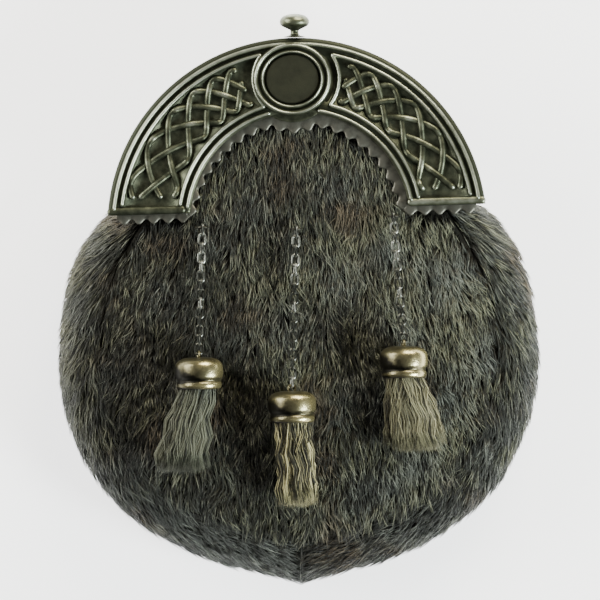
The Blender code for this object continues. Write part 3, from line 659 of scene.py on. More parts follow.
TASSELS = [
    # name, staple x, staple y, cap x, cap y, hair end x, hair end y, half-width of the hair's end
    ("left", -40.2, 30.9, -42.3, -24.2, -48.2, -74.4, 15.6),
    ("middle", -0.4, 29.6, -3.1, -38.9, -0.8, -89.2, 11.0),
    ("right", 40.9, 34.6, 44.4, -20.5, 49.2, -66.6, 15.2),
]
CAP_MIDDLE_DROP = 6.0
CAP_PRESS = 14.0  # how far from a cap's middle the fur lies flatter
PALE_HAIR_PATCHES = [
    # x, y, size, change in the share of pale hairs: patches of the coat's own colour together with painted
    # light and shade, mostly more pale hairs on the right and fewer on the left
    (-1, 44, 18, -0.20),
    (-29, 23, 15, -0.20),
    (-40, -8, 22, -0.36),
    (0, -66, 30, -0.02),
    (-20, -88, 26, -0.25),
    (24, -58, 16, -0.25),
    (-12, 68, 9, 0.14),
    (8, 62, 9, 0.10),
    (22, 40, 14, 0.22),
    (28, 20, 18, 0.15),
    (66, 2, 16, 0.15),
    (-12, 6, 20, 0.14),
    (0, 66, 22, -0.22),
]


def ripple(x, y, size, seed):
    """A smooth random field about 0: six sine waves of nearly this length, each in its own direction."""
    chance = np.random.default_rng(seed)
    heading, phase = chance.uniform(0, 2 * np.pi, (2, 6))
    pace = 2 * np.pi / (size * chance.uniform(0.7, 1.4, 6))
    waves = [np.sin(p * (x * np.cos(h) + y * np.sin(h)) + f) for h, p, f in zip(heading, pace, phase)]
    return sum(waves) / 3.5


def hairs(name, middles, widths, finish, **marks):
    """Three-sided spikes along rows of middles: each ring stands square to its hair, and the last is a point.

    middles is hairs by stations by 3, with the tip last; widths has one value for each station but the tip.
    """
    count, stations = middles.shape[:2]
    along = unit(np.gradient(middles, axis=1))[:, :-1]
    side = unit(np.cross(along, (0.0, 0.0, 1.0)))
    over = np.cross(side, along)
    turn = SIDE_OF_HAIR[:, None]
    spread = np.cos(turn) * side[:, :, None] + np.sin(turn) * over[:, :, None]
    rings = middles[:, :-1, None] + spread * np.asarray(widths)[..., None, None] / 2
    body = 3 * (stations - 1)
    points = np.concatenate([rings.reshape(count, body, 3), middles[:, -1:]], 1)
    start = (np.arange(count) * (body + 1))[:, None, None]
    quads = grid_faces(stations - 1, 3, wrap_columns=True)[None] + start
    last = np.array([[body - 3, body - 2, body], [body - 2, body - 1, body], [body - 1, body - 3, body]])
    ends = np.concatenate([last, [[2, 1, 0]]])[None] + start
    share = np.repeat(np.linspace(0, 1, stations)[:-1], 3)
    tip = np.tile(np.append(share, 1.0), count)
    for mark, values in marks.items():
        marks[mark] = np.repeat(values, body + 1)
    faces = [quads.reshape(-1, 4), ends.reshape(-1, 3)]
    return piece(name, points.reshape(-1, 3), faces, finish, tip=tip, **marks)


def fur_look(place):
    """Dark roots, and tips that run from near black to olive or blue-grey, with brown in patches."""
    tip, shade, tone = place.mark("tip"), place.mark("shade"), place.mark("tone")
    warm = place.speckle(34, 2.0).between(0.51, 0.68)
    tone = tone + (place.speckle(60, 2.0) - 0.5) * 0.8
    end_colour = warm.mix(tone.between(0.2, 0.8).mix(HAIR_OLIVE, HAIR_GREY), HAIR_BROWN)
    return {"Base Color": (tip ** 1.2).mix(ROOT_COLOUR, shade.mix(HAIR_DARK, end_colour))}


FUR_FINISH = new_finish("fur_hair", fur_look, Roughness=0.42, Specular_IOR_Level=0.25)


def hair_shades(chance, light, shape):
    """A shade for each hair: near black, or pale in about as many hairs as the light share says."""
    pale = chance.uniform(0, 1, shape) < light
    return np.where(pale, chance.uniform(0.55, 1.0, shape), chance.uniform(0.0, 0.22, shape)).ravel()


def clump_chances(chance, clumps, hair, tallest, straggle):
    """For each hair of so many clumps: turn of its heading, length, height factor, root's shift, and draw.

    A hair has its clump's own chance and one of its own; draw is the share by which clumps draw together.
    """
    each_clump, each_hair = (clumps, 1), (clumps, HAIRS_TO_CLUMP)
    turn = chance.normal(0, 0.14, each_clump) + chance.normal(0, 0.20, each_hair)
    length = hair * chance.uniform(0.72, 1.25, each_clump) * chance.uniform(0.8, 1.2, each_hair)
    stand = chance.uniform(0.5, tallest, each_clump) * chance.uniform(0.75, 1.3, each_hair)
    shift = chance.normal(0, 0.85, each_hair), chance.normal(0, straggle, each_hair)
    draw = 0.55 * chance.uniform(0.6, 1.3, each_clump)
    return turn, length, stand, shift, draw


def front_fur(name, low, high, seed):
    """The fur of the front between two heights: it leans outwards and swirls, and clumps draw together."""
    chance = np.random.default_rng(seed)
    y, x = np.mgrid[low:high:FRONT_CLUMP, -FRONT_FUR_HALF:FRONT_FUR_HALF:FRONT_CLUMP]
    x = (x + chance.uniform(-0.5, 0.5, x.shape) * FRONT_CLUMP).ravel()
    y = (y + chance.uniform(-0.5, 0.5, y.shape) * FRONT_CLUMP).ravel()
    in_arch = np.hypot(x, y - ARCH_CENTRE) < ARCH_FUR_RADIUS
    in_bag = (np.abs(x) < seam_half_width(y) - 0.6) & (y < FRONT_SHOULDER + 1.5)
    kept = (in_arch & (y >= FRONT_SHOULDER)) | in_bag
    x, y = x[kept][:, None], y[kept][:, None]
    turn, length, stand, shift, draw = clump_chances(chance, len(x), FRONT_HAIR, 1.4, 1.0)
    swirl = np.where(y > FRONT_SHOULDER, 0.55, 1.0)
    lean = 0.26 * np.clip(x / 70, -1, 1) * np.clip((y + 95) / 60, 0.15, 1)
    lean = lean + swirl * (0.30 * ripple(x, y, 21, seed) + 0.22 * ripple(x, y, 7.5, seed + 1)) + turn
    caps = [(cap_x, cap_y - CAP_MIDDLE_DROP) for _name, _x, _y, cap_x, cap_y, *_end in TASSELS]
    nearest_cap = np.min([np.hypot(x - cap_x, y - cap_y) for cap_x, cap_y in caps], axis=0)
    stand = stand * np.clip(nearest_cap / CAP_PRESS - 0.35, 0.15, 1)
    root_x, root_y = x + shift[0], y + shift[1]
    stations = []
    for share, height in ((0.0, -0.3), (0.45, 1.5), (1.0, 2.25)):
        at_x = root_x + length * share * np.sin(lean) + (x - root_x) * draw * share**1.5
        at_y = root_y - length * share * np.cos(lean) + (y - root_y) * draw * share**1.5 * 0.4
        uneven = (height > 0) * chance.uniform(-0.25, 0.35, root_x.shape)
        at_z = front_depth(at_x, at_y) + height * stand + uneven
        stations.append(np.stack([at_x, at_y, at_z], -1))
    middles = np.stack(stations, 2).reshape(-1, 3, 3)
    # The share of pale hairs: uneven in large and small patches, and greater on the right, painted light
    # where the lamps fall from the right.
    light = 0.43 + 0.14 * ripple(x, y, 44, 5) + 0.14 * ripple(x, y, 9, 6) + 0.16 * np.clip(x / 60, -1, 1)
    for patch_x, patch_y, size, change in PALE_HAIR_PATCHES:
        light = light + change * np.exp(-((x - patch_x) ** 2 + (y - patch_y) ** 2) / size**2)
    # Painted shade: below the shoulder, fewer pale hairs within 8 mm of the seam, in the crease round the
    # front.
    in_crease = np.clip((seam_half_width(y) - np.abs(x)) / 8, 0, 1)
    light = light * np.where(y < FRONT_SHOULDER - 6, 0.12 + 0.88 * in_crease, 1)
    light = light + chance.normal(0, 0.20, (len(x), 1))
    tone = np.broadcast_to(0.45 + 0.3 * ripple(x, y, 30, 7), root_x.shape)
    shade = hair_shades(chance, light, root_x.shape)
    fur = hairs(name, middles, FUR_WIDTHS, FUR_FINISH, shade=shade, tone=tone)
    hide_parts("front_panel")


front_fur("front_fur_upper", FUR_SPLIT, FRONT_FUR_TOP, 11)
front_fur("front_fur_lower", FRONT_FUR_BOTTOM, FUR_SPLIT, 12)


def gusset_fur(side, sign, seed):
    """The fur of one gusset strip: it runs to the tip along the strip, and outwards over the bulge."""
    chance = np.random.default_rng(seed)
    strip = gusset_at(np.linspace(0, 1, 200)[:, None] * sign, np.linspace(0, SEAM_WAY, 60)[None])
    strip_length = np.linalg.norm(np.diff(strip, axis=0), axis=2).sum(axis=0).mean()
    strip_width = np.linalg.norm(np.diff(strip, axis=1), axis=2).sum(axis=1).mean()
    rows, columns = int(strip_width / GUSSET_CLUMP), int(strip_length / GUSSET_CLUMP)
    way, turn = np.mgrid[0:rows, 0:columns] + chance.uniform(0, 1, (2, rows, columns))
    way = FUR_FIRST_WAY + FUR_WAY_SPAN * (way / rows).ravel()[:, None]
    turn = (turn / columns).ravel()[:, None]
    way_step, turn_step = SEAM_WAY / strip_width, 1 / strip_length  # of one millimetre
    along, across = turn * strip_length, way / way_step
    own_turn, length, stand, shift, draw = clump_chances(chance, len(way), GUSSET_HAIR, 1.45, 0.95)
    heading = np.radians(4 + 34 * turn * np.clip((7.4 - way) / 2.0, 0, 1))
    heading = heading + 0.26 * ripple(along, across, 19, seed) + own_turn
    root_way, root_turn = way + shift[0] * way_step, turn + shift[1] * turn_step
    stations = []
    for share, height in ((0.0, -0.3), (0.45, 1.6), (1.0, 2.4)):
        at_way = root_way - length * share * np.sin(heading) * way_step + (way - root_way) * draw * share**1.5
        at_turn = root_turn - length * share * np.cos(heading) * turn_step
        at_way = np.clip(at_way, 0.05, SEAM_WAY - 0.05)
        at_turn = np.clip(at_turn, 0.0, 1.0)
        spot = gusset_at(at_turn * sign, at_way)
        ahead = gusset_at(at_turn * sign, at_way + 0.05) - spot
        beside = gusset_at((at_turn - 0.002) * sign, at_way) - spot
        normal = unit(np.cross(beside, ahead)) * -sign
        spot = spot + normal * (height * stand)[..., None]
        spot[..., 2] = np.maximum(spot[..., 2], 0.4)
        stations.append(spot)
    middles = np.stack(stations, 2).reshape(-1, 3, 3)
    # The share of pale hairs, painted light and shade: greater on the left, high up on the left side and low
    # down on the right one. It is also less towards the tip.
    upper_left, lower_right = 4.0 * np.clip(turn - 0.50, -0.12, 0.09), 0.9 * np.clip(0.45 - turn, 0, 0.3)
    at_tip = np.clip(1 - turn / 0.22, 0, 1)
    light = 0.46 + 0.14 * ripple(along, across, 34, seed + 2) - 0.13 * sign
    light = light + (upper_left if sign < 0 else lower_right) - 0.50 * at_tip
    # Painted shade: fewer pale hairs down in the crease at the front seam, and fewer near the hem behind the
    # rim, most on the left.
    light = light * np.clip(0.12 + (6.9 - way) / 2.5, 0.12, 1)  # dark in the crease at the front seam
    light = light * np.clip(0.6 + 0.15 * sign + (way - 2.8) / 4, 0, 1)  # and behind the rim
    light = light + chance.normal(0, 0.24, (len(way), 1))
    # The tone: its ripple is the coat's own uneven colour, and its change from olive high up to blue-grey
    # towards the tip is a painted tint of the cool light from low on the right.
    tone = 0.5 + 0.35 * np.clip(0.7 - turn, -0.4, 0.5) * 2 + 0.3 * ripple(along, across, 24, seed)
    tone = np.broadcast_to(tone, root_way.shape)
    shade = hair_shades(chance, light, root_way.shape)
    fur = hairs(f"gusset_fur_{side}", middles, FUR_WIDTHS, FUR_FINISH, shade=shade, tone=tone)
    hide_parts(f"gusset_{side}")


gusset_fur("left", -1, 21)
gusset_fur("right", 1, 22)

# ------------------------------------------------------------------------------ The scalloped plate
# A thin plate screwed down behind the cantle. Its edge is pressed into small round scallops, which show
# round the inside of the arch, under the boss and below both feet.

SCALLOP_PITCH = 6.3
SCALLOP_DEPTH = 2.0
SCALLOP_TIP_RADIUS = 43.2
SCALLOP_LOBE_RADIUS = 23.2
SCALLOP_FOOT = 33.8
SCALLOP_OUTER = 76.8
PLATE_BAND = 6.5  # how far the plate is made in under the cantle
TEETH_BAND = 3.0  # how far in from the edge the scallops shape it
PLATE_STEP = 0.35
PLATE_ROWS = [
    # way in from the edge, depth, how much of the tooth's own dishing
    (0.00, 41.8, 0.0),
    (0.00, 42.5, 0.5),
    (0.30, 42.85, 1.0),
    (0.90, 42.95, 1.0),
    (1.80, 43.0, 0.6),
    (TEETH_BAND, 43.1, 0.0),
    (PLATE_BAND, 43.1, 0.0),
    (PLATE_BAND, 41.8, 0.0),
]
BOSS_PLACE = (0.0, 93.3)
CANTLE_LEAN = 1.1  # degrees to the left that the arch's metalwork is turned on the bag


def resampled(path, step):
    """An open path, again, in even steps of about this length."""
    length = run_of(path)[-1]
    return path_at(path, np.linspace(0, length, round(length / step) + 1))


def leaned(points):
    """Points of the arch's metalwork, turned about the arch's centre to where it sits on the bag."""
    turn = np.radians(CANTLE_LEAN)
    x, y = points[:, 0], points[:, 1] - ARCH_CENTRE
    turned_x = x * np.cos(turn) - y * np.sin(turn)
    turned_y = x * np.sin(turn) + y * np.cos(turn)
    return np.stack([turned_x, turned_y + ARCH_CENTRE, points[:, 2]], -1)


def softened(path, reach):
    """A path with its corners rounded: each point becomes the mean of those within reach of it."""
    padded = np.concatenate([np.repeat(path[:1], reach, 0), path, np.repeat(path[-1:], reach, 0)])
    total = np.cumsum(np.concatenate([np.zeros((1, path.shape[1])), padded]), axis=0)
    return (total[2 * reach + 1 :] - total[: -2 * reach - 1]) / (2 * reach + 1)


plate_base = SCALLOP_TIP_RADIUS + SCALLOP_DEPTH
plate_foot = SCALLOP_FOOT + SCALLOP_DEPTH
plate_start = arch_start(plate_base, plate_foot)
plate_arch = arc((0, ARCH_CENTRE), plate_base, plate_start, 180 - plate_start, 400)
lobe_reach = SCALLOP_LOBE_RADIUS - SCALLOP_DEPTH
lobe_y = BOSS_PLACE[1] - np.sqrt(np.clip(lobe_reach**2 - (plate_arch[:, 0] - BOSS_PLACE[0]) ** 2, 0, None))
on_lobe = np.abs(plate_arch[:, 0] - BOSS_PLACE[0]) < lobe_reach
plate_arch[:, 1] = np.where(on_lobe, np.minimum(plate_arch[:, 1], lobe_y), plate_arch[:, 1])
right_end, left_end = [(SCALLOP_OUTER, plate_foot)], [(-SCALLOP_OUTER, plate_foot)]
plate_path = softened(resampled(np.concatenate([right_end, plate_arch, left_end]), PLATE_STEP), 5)
plate_run = run_of(plate_path)
teeth = round(plate_run[-1] / SCALLOP_PITCH)
tooth = np.sin(np.pi * teeth * plate_run / plate_run[-1]) ** 2  # 0 in a notch, 1 on a tooth
plate_in, plate_depth, dishing = np.array(PLATE_ROWS).T
inwards = plate_in - SCALLOP_DEPTH * tooth[:, None] * (plate_in < TEETH_BAND)
plate_z = plate_depth - 0.16 * dishing * (1 - tooth[:, None])
plate_section = np.stack([-inwards, plate_z], -1)[:, ::-1]
plate_points, plate_faces = sweep(at_depth(plate_path, 0), plate_section)
plate_wear = (0.24 + 0.25 * dishing * tooth[:, None] + 0.1 * (plate_in > 0))[:, ::-1]
plate = piece("scalloped_plate", leaned(plate_points), plate_faces, GREY_FINISH, wear=plate_wear)
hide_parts("scalloped_backplate")

# ------------------------------------------------------------------------------ The cantle
# One casting: an arch with a skirt at its outer edge, two beads round its outside and two round its
# inside, a framed cell in each leg, a lobe under the boss, and a bar across each foot.

PEWTER_DARK = (0.030, 0.034, 0.021, 1)
PEWTER_MIDDLE = (0.122, 0.131, 0.085, 1)
PEWTER_BRIGHT = (0.37, 0.395, 0.31, 1)
PEWTER = metal_look(PEWTER_DARK, PEWTER_MIDDLE, PEWTER_BRIGHT, 0.38)
PEWTER_FINISH = new_finish("antiqued_pewter", PEWTER, Metallic=0.85)
FOOT_LINE = 38.0
INNER_CENTRE = (1.33, 32.3)  # the inner edge is struck from its own centre
CANTLE_PROFILE = [
    # radius, depth, share of the inner edge's centre, wear; the skirt and the outer rounded edge are painted
    # dark, a painted shade
    (80.4, 38.4, 0, -0.6),
    (80.6, 41.5, 0, -0.6),
    (80.6, 44.4, 0, -0.6),
    (80.4, 45.3, 0, -0.5),
    (79.9, 45.8, 0, -0.3),
    (79.0, 46.1, 0, -0.1),
    (76.6, 46.1, 0, 0.05),
    (73.6, 45.9, 0, 0.05),
    (73.0, 45.2, 0, 0.15),
    (66.0, 44.8, 0.2, 0.22),
    (59.0, 44.8, 0.6, 0.22),
    (52.9, 45.2, 1, 0.12),
    (52.3, 45.9, 1, 0.1),
    (49.6, 46.0, 1, 0.0),
    (47.5, 46.0, 1, 0.3),
    (46.9, 45.6, 1, 0.4),
    (46.7, 44.8, 1, 0.2),
    (46.8, 43.4, 1, 0.0),
    (77.2, 43.4, 0, 0.0),
    (77.6, 38.4, 0, 0.0),
]
LOBE_DROP = 0.8  # the lobe's middle is this much under the boss's
LOBE_SECTION = [
    # step, depth, radius, wear: the plate under the boss
    (0, 43.4, 17.4, 0.0),
    (1, 44.9, 17.5, 0.2),
    (2, 45.5, 17.1, 0.5),
    (3, 45.7, 16.4, 0.2),
    (4, 45.7, 8.0, 0.2),
    (5, 45.7, 0.05, 0.2),
]
OUTER_BEAD = (0.0, ARCH_CENTRE, 77.9)
CELL_OUTER = (0.0, ARCH_CENTRE, 74.8)
CELL_INNER = (*INNER_CENTRE, 51.4)
INNER_BEAD = (*INNER_CENTRE, 48.15)
CELL_FRAMES = {"left": (0.2, 93.4, 16.9), "right": (2.2, 93.4, 17.7)}
BEAD_FOOT = FOOT_LINE + 3.2
BEAD_BY_BOSS = 17.0  # how near the boss's middle the inner bead comes
BAR_LINE = FOOT_LINE + 1.5
BAR_ENDS = (47.0, 80.3)
BAR_STEPS = 60
RIDGES = {
    # depth of its foot, half-width, rise
    "outer bead": (46.0, 0.95, 1.75),
    "inner bead": (45.8, 0.95, 1.5),
    "cell frame": (45.5, 1.05, 2.15),
    "foot bar": (46.0, 1.7, 1.0),
}
BODY_STEPS = 160


def circle_meet(first, second, upper):
    """Where two circles cross, each a centre and a radius: the crossing on the left or right of the line."""
    (x1, y1, r1), (x2, y2, r2) = first, second
    apart = math.hypot(x2 - x1, y2 - y1)
    along = (r1**2 - r2**2 + apart**2) / (2 * apart)
    aside = math.sqrt(r1**2 - along**2) * (1 if upper else -1)
    unit_x, unit_y = (x2 - x1) / apart, (y2 - y1) / apart
    return np.array([x1 + along * unit_x - aside * unit_y, y1 + along * unit_y + aside * unit_x])


def arc_between(circle, start, end):
    """The shorter arc of a circle from one of its points to another."""
    x, y, radius = circle
    first = math.degrees(math.atan2(start[1] - y, start[0] - x))
    turn = (math.degrees(math.atan2(end[1] - y, end[0] - x)) - first + 180) % 360 - 180
    return arc((x, y), radius, first, first + turn, 200)


def at_height(circle, y, right):
    """The point of a circle at a height, on its right or its left."""
    across = math.sqrt(circle[2] ** 2 - (y - circle[1]) ** 2)
    return np.array([circle[0] + (across if right else -across), y])


def ridge(path, half_width, height, root=0.8, shine=1.0):
    """A half-round bead along a path, with rounded ends: its wear and painted light mark is the square of its
    height over its foot, times its shine.
    """
    turn = np.linspace(0, np.pi, 11)
    over = np.stack([half_width * np.cos(turn), height * np.sin(turn)], -1)
    section = np.concatenate([over, [(-half_width, -root), (half_width, -root)]])
    wear = np.append(np.sin(turn) ** 2, [0, 0]) * np.broadcast_to(shine, len(path))[:, None]
    run = run_of(path)
    near = np.clip(np.minimum(run, run[-1] - run) / (0.9 * half_width), 0, 1)
    section = section * np.sqrt(1 - (1 - near) ** 2 * 0.97)[:, None, None]
    return (*sweep(path, section), wear.ravel())


def raised(kind, flat, **more):
    """A ridge on the casting, of a kind in its table, along a flat path."""
    depth, half_width, rise = RIDGES[kind]
    return ridge(at_depth(flat, depth), half_width, rise, **more)


def merged(*parts):
    """Parts with wear and painted light marks, joined as one mesh."""
    points, faces = joined(*[(points, faces) for points, faces, _wear in parts])
    return points, faces, np.concatenate([wear for _points, _faces, wear in parts])


radius, level, inner_share, body_wear = np.array(CANTLE_PROFILE).T
centre_x = inner_share * INNER_CENTRE[0]
centre_y = ARCH_CENTRE + inner_share * (INNER_CENTRE[1] - ARCH_CENTRE)
foot_angle = np.arcsin((FOOT_LINE - centre_y) / radius)
angle = foot_angle + (np.pi - 2 * foot_angle) * np.linspace(0, 1, BODY_STEPS)[:, None]
body_x = centre_x + radius * np.cos(angle)
body_y = centre_y + radius * np.sin(angle)
body_points = np.stack([body_x, body_y, np.broadcast_to(level, body_x.shape)], -1).reshape(-1, 3)
body = (body_points, tube_faces(BODY_STEPS, len(radius)), np.tile(body_wear, BODY_STEPS))

parts = [body, turned(LOBE_SECTION, (BOSS_PLACE[0], BOSS_PLACE[1] - LOBE_DROP))]
bead_top = (0, ARCH_CENTRE + OUTER_BEAD[2])
bead_path = arc_between(OUTER_BEAD, at_height(OUTER_BEAD, BAR_LINE, True), bead_top)
bead_path = np.concatenate([bead_path, (bead_path * (-1, 1))[-2::-1]])
parts.append(raised("outer bead", resampled(bead_path, 0.7)))
for side, right in (("left", False), ("right", True)):
    frame_circle = CELL_FRAMES[side]
    shoulder = circle_meet(CELL_OUTER, frame_circle, not right)
    corner = circle_meet(CELL_INNER, frame_circle, not right)
    outer_leg = arc_between(CELL_OUTER, at_height(CELL_OUTER, BEAD_FOOT, right), shoulder)
    inner_leg = arc_between(CELL_INNER, corner, at_height(CELL_INNER, BEAD_FOOT - 0.6, right))
    beside_boss = arc_between(frame_circle, shoulder, corner)
    frame_path = softened(resampled(np.concatenate([outer_leg, beside_boss[1:], inner_leg[1:]]), 0.3), 3)
    parts.append(raised("cell frame", frame_path))
    lobe_edge = circle_meet(INNER_BEAD, (*BOSS_PLACE, BEAD_BY_BOSS), not right)
    inner_path = arc_between(INNER_BEAD, at_height(INNER_BEAD, BEAD_FOOT - 1.5, right), lobe_edge)
    parts.append(raised("inner bead", resampled(inner_path, 0.6)))
    # Painted light: the right foot bar is painted bright and the left one dark, as the light falls from the
    # right.
    bar_x = (1 if right else -1) * np.linspace(*BAR_ENDS, BAR_STEPS)
    bar_path = np.stack([bar_x, np.full(BAR_STEPS, BAR_LINE)], -1)
    parts.append(raised("foot bar", bar_path, root=2.6, shine=0.85 if right else 0.25))
points, faces, wear = merged(*parts)
casting = piece("cantle_casting", leaned(points), faces, PEWTER_FINISH, wear=wear)
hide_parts("cantle")

# ------------------------------------------------------------------------------ The interlace
# Raised in each cell of the casting: a plait of four round strands, crossing over and under by turns, that
# opens out towards the boss. The strands end in small knobs above the foot.

PLAIT_STEPS = [
    # degrees along the arch, waves of a strand across the cell, width of the plait
    (11.0, -0.113, 21.0),
    (24.6, 0.125, 18.2),
    (38.6, 0.375, 17.4),
    (49.6, 0.625, 17.4),
    (58.5, 0.875, 17.4),
    (66.0, 1.125, 17.4),
    (70.8, 1.3125, 17.4),
]
PLAIT_MIDDLE = 63.4
STRAND_HALF = 1.45
STRAND_BASE = 45.3
STRAND_FOOT = 44.4  # where the strands are cut off level
STRAND_RISE = 1.4
STRAND_ROOT = 1.6
STRANDS = 4
STRAND_SHIFT = 0.8  # how far the plait's inner side follows the inner edge's own centre
ROUNDING = 0.94  # of a strand's zigzag: 1 would leave its corners sharp
WEAVE_RISE = 0.42
WEAVE_SOFT = 3  # points either way over which a crossing's rise is averaged
RUBBED_SPAN = (11, 71)  # degrees along the arch between which the strands are rubbed unevenly
RUBBED_PLACES = 30

chance = np.random.default_rng(60)
degrees = np.linspace(PLAIT_STEPS[0][0], PLAIT_STEPS[-1][0], 180)
waves, width = smooth(PLAIT_STEPS, degrees).T
window = np.full(2 * WEAVE_SOFT + 1, 1 / (2 * WEAVE_SOFT + 1))
strands = []
for mirror in (1, -1):
    for strand in range(STRANDS):
        wave = waves + strand / STRANDS
        across = 0.5 - 0.5 * np.arcsin(ROUNDING * np.cos(2 * np.pi * wave)) / np.arcsin(ROUNDING)
        reach = PLAIT_MIDDLE + width * (across - 0.5)
        shift = (1 - across) * STRAND_SHIFT
        x = shift * INNER_CENTRE[0] * mirror + reach * np.cos(np.radians(degrees))
        y = ARCH_CENTRE + shift * (INNER_CENTRE[1] - ARCH_CENTRE) + reach * np.sin(np.radians(degrees))
        weave = -np.cos(2 * STRANDS * np.pi * wave) * np.sign(np.sin(2 * np.pi * wave))
        rise = WEAVE_RISE * np.convolve(np.pad(weave, WEAVE_SOFT, "edge"), window, "valid")
        path = np.stack([mirror * x, y, STRAND_BASE + rise], -1)[y > STRAND_FOOT]
        rubbed_at = np.linspace(*RUBBED_SPAN, RUBBED_PLACES)
        rubbed = np.interp(degrees, rubbed_at, chance.uniform(0.0, 1.0, RUBBED_PLACES))
        shine = np.clip(0.8 * rubbed**2 + 0.25 * rise / WEAVE_RISE, 0.05, 1)[y > STRAND_FOOT]
        # Painted highlight: each strand is painted bright over its last 2.5 mm above the foot, as if its cut
        # end caught the light.
        ends = np.clip((path[:, 1] - STRAND_FOOT) / 2.5, 0, 1)
        shine = np.maximum(shine, 1.2 - ends)
        strands.append(ridge(path, STRAND_HALF, STRAND_RISE, STRAND_ROOT, shine=shine))
points, faces, wear = merged(*strands)
interlace = piece("cantle_interlace", leaned(points), faces, PEWTER_FINISH, wear=wear)
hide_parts("cantle")

# ------------------------------------------------------------------------------ The boss and its disc
# Two turned rings on the lobe, a little wider than they are tall, round a plain dark disc set in a recess.

BOSS_SQUASH = 0.92
BOSS_SECTION = [
    # step, depth, radius, wear
    (0, 45.3, 16.9, 0.0),
    (1, 46.4, 16.9, 0.1),
    (2, 47.9, 16.5, 0.5),
    (3, 48.75, 15.7, 1.0),
    (4, 48.1, 14.9, 0.5),
    (5, 47.0, 14.3, 0.0),
    (6, 47.4, 13.6, 0.1),
    (7, 48.4, 12.9, 0.8),
    (8, 48.5, 12.5, 1.0),
    (9, 47.6, 12.0, 0.5),
    (10, 46.4, 11.8, 0.0),
    (11, 46.2, 10.0, 0.0),
    (12, 46.2, 0.05, 0.0),
]
DISC_SECTION = [
    # step, depth, radius, wear
    (0, 46.3, 11.2, 0.0),
    (1, 46.9, 11.3, 0.1),
    (2, 47.25, 11.0, 0.35),
    (3, 47.4, 10.2, 0.3),
    (4, 47.5, 5.0, 0.3),
    (5, 47.55, 0.05, 0.3),
]

points, faces, wear = turned(BOSS_SECTION, BOSS_PLACE, 108, squash=BOSS_SQUASH)
boss = piece("boss_rings", leaned(points), faces, PEWTER_FINISH, wear=wear)
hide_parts("cantle")
DISC_DARK = (0.014, 0.015, 0.009, 1)
DISC_MIDDLE = (0.021, 0.022, 0.013, 1)
DISC_BRIGHT = (0.030, 0.031, 0.019, 1)
DISC_METAL = metal_look(DISC_DARK, DISC_MIDDLE, DISC_BRIGHT, 0.62)
DISC_FINISH = new_finish("dark_disc_metal", DISC_METAL, Metallic=0.5, Specular_IOR_Level=0.2)
points, faces, wear = turned(DISC_SECTION, BOSS_PLACE, 96, 3, squash=BOSS_SQUASH)
disc = piece("disc_face", leaned(points), faces, DISC_FINISH, wear=wear)
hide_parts("boss_disc")

# ------------------------------------------------------------------------------ The knob
# A turned finial: a flattened ball on a narrow neck, whose foot spreads on the top of the arch.

KNOB_PLACE = (0.0, 121.1, 43.4)
KNOB_SECTION = [
    # step, drop, radius, wear
    (0, 0.0, 0.05, 0.5),
    (1, 0.15, 2.2, 0.7),
    (2, 0.9, 4.6, 0.8),
    (3, 2.2, 5.9, 0.6),
    (4, 3.6, 6.25, 0.5),
    (5, 5.0, 5.6, 0.25),
    (6, 6.1, 3.6, 0.1),
    (7, 6.9, 2.0, 0.1),
    (8, 7.7, 1.7, 0.3),
    (9, 8.9, 2.0, 0.3),
    (10, 9.5, 3.4, 0.3),
    (11, 9.75, 4.5, 0.4),
    (12, 9.9, 4.3, 0.1),
]
points, faces, wear = turned(KNOB_SECTION, KNOB_PLACE, downwards=True)
knob = piece("knob", points, faces, PEWTER_FINISH, wear=wear)
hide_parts("top_knob")

# ------------------------------------------------------------------------------ Chains and staples
# Three cable chains of round wire, each link a quarter turn from the next. They hang from wire staples
# pushed through the hide, and run down over the fur to the tassels' caps.

WIRE = 1.05
WIRE_SIDES = 8
LINK_STEPS = 20
STAPLE_STEPS = 40
LINK_PITCH = 3.92
LINK_WIDTH = 4.0
LINK_BITE = 0.24
LINK_ROLL = 75.0  # the first link stands nearly on edge, and the next lies nearly flat
CHAIN_DEPTH = 45.8
CHAIN_HANG = (LINK_PITCH + 2 * WIRE - LINK_BITE) / 2 - 1.5 * WIRE - 0.25
CAP_DEPTH = 52.3
EYE_RADIUS = 1.5
EYE_RISE = 1.0
STAPLE_LINE = [
    # step, out from its middle, below the chain's line
    (0, -2.1, 5.5),
    (1, -2.1, 1.6),
    (2, -1.3, 0.15),
    (3, 0.0, -0.25),
    (4, 1.3, 0.15),
    (5, 2.1, 1.6),
    (6, 2.1, 5.5),
]


def wire(flat, closed=True):
    """A round wire along a path that lies in one plane, in that plane's own coordinates."""
    ahead = unit(np.roll(flat, -1, 0) - np.roll(flat, 1, 0) if closed else np.gradient(flat, axis=0))
    aside = np.stack([-ahead[:, 1], ahead[:, 0]], -1)
    turn = np.arange(WIRE_SIDES) * 2 * np.pi / WIRE_SIDES
    in_plane = flat[:, None] + WIRE / 2 * np.cos(turn)[:, None] * aside[:, None]
    out_of_plane = np.broadcast_to(WIRE / 2 * np.sin(turn), in_plane.shape[:2])
    return np.concatenate([in_plane, out_of_plane[..., None]], -1)


def chain_line(staple_x, staple_y, cap_x, cap_y):
    """Middles of a chain's links: straight as seen from the front, and rising as a parabola to the eye."""
    eye = np.array([cap_x, cap_y + EYE_RISE + EYE_RADIUS, CAP_DEPTH])
    start = np.array([staple_x, staple_y - CHAIN_HANG, CHAIN_DEPTH])
    leaving = (start - eye) * (1, 1, 2)
    end = eye + CHAIN_HANG * leaving / np.linalg.norm(leaving)
    share = np.linspace(0, 1, 200)[:, None]
    line = start + (end - start) * share ** (1, 1, 2)
    return resampled(line, LINK_PITCH)


def link_frames(ahead, numbers):
    """Axes of links that lie along directions: across, along, and square to both, in rows of matrices."""
    along = unit(ahead)
    level = unit(np.cross(along, (0.0, 0.0, 1.0)))
    square = np.cross(along, level)
    roll = np.radians(LINK_ROLL + 90 * (np.asarray(numbers) % 2))[:, None]
    across = np.cos(roll) * level + np.sin(roll) * square
    return np.stack([across, along, np.cross(across, along)], 1)


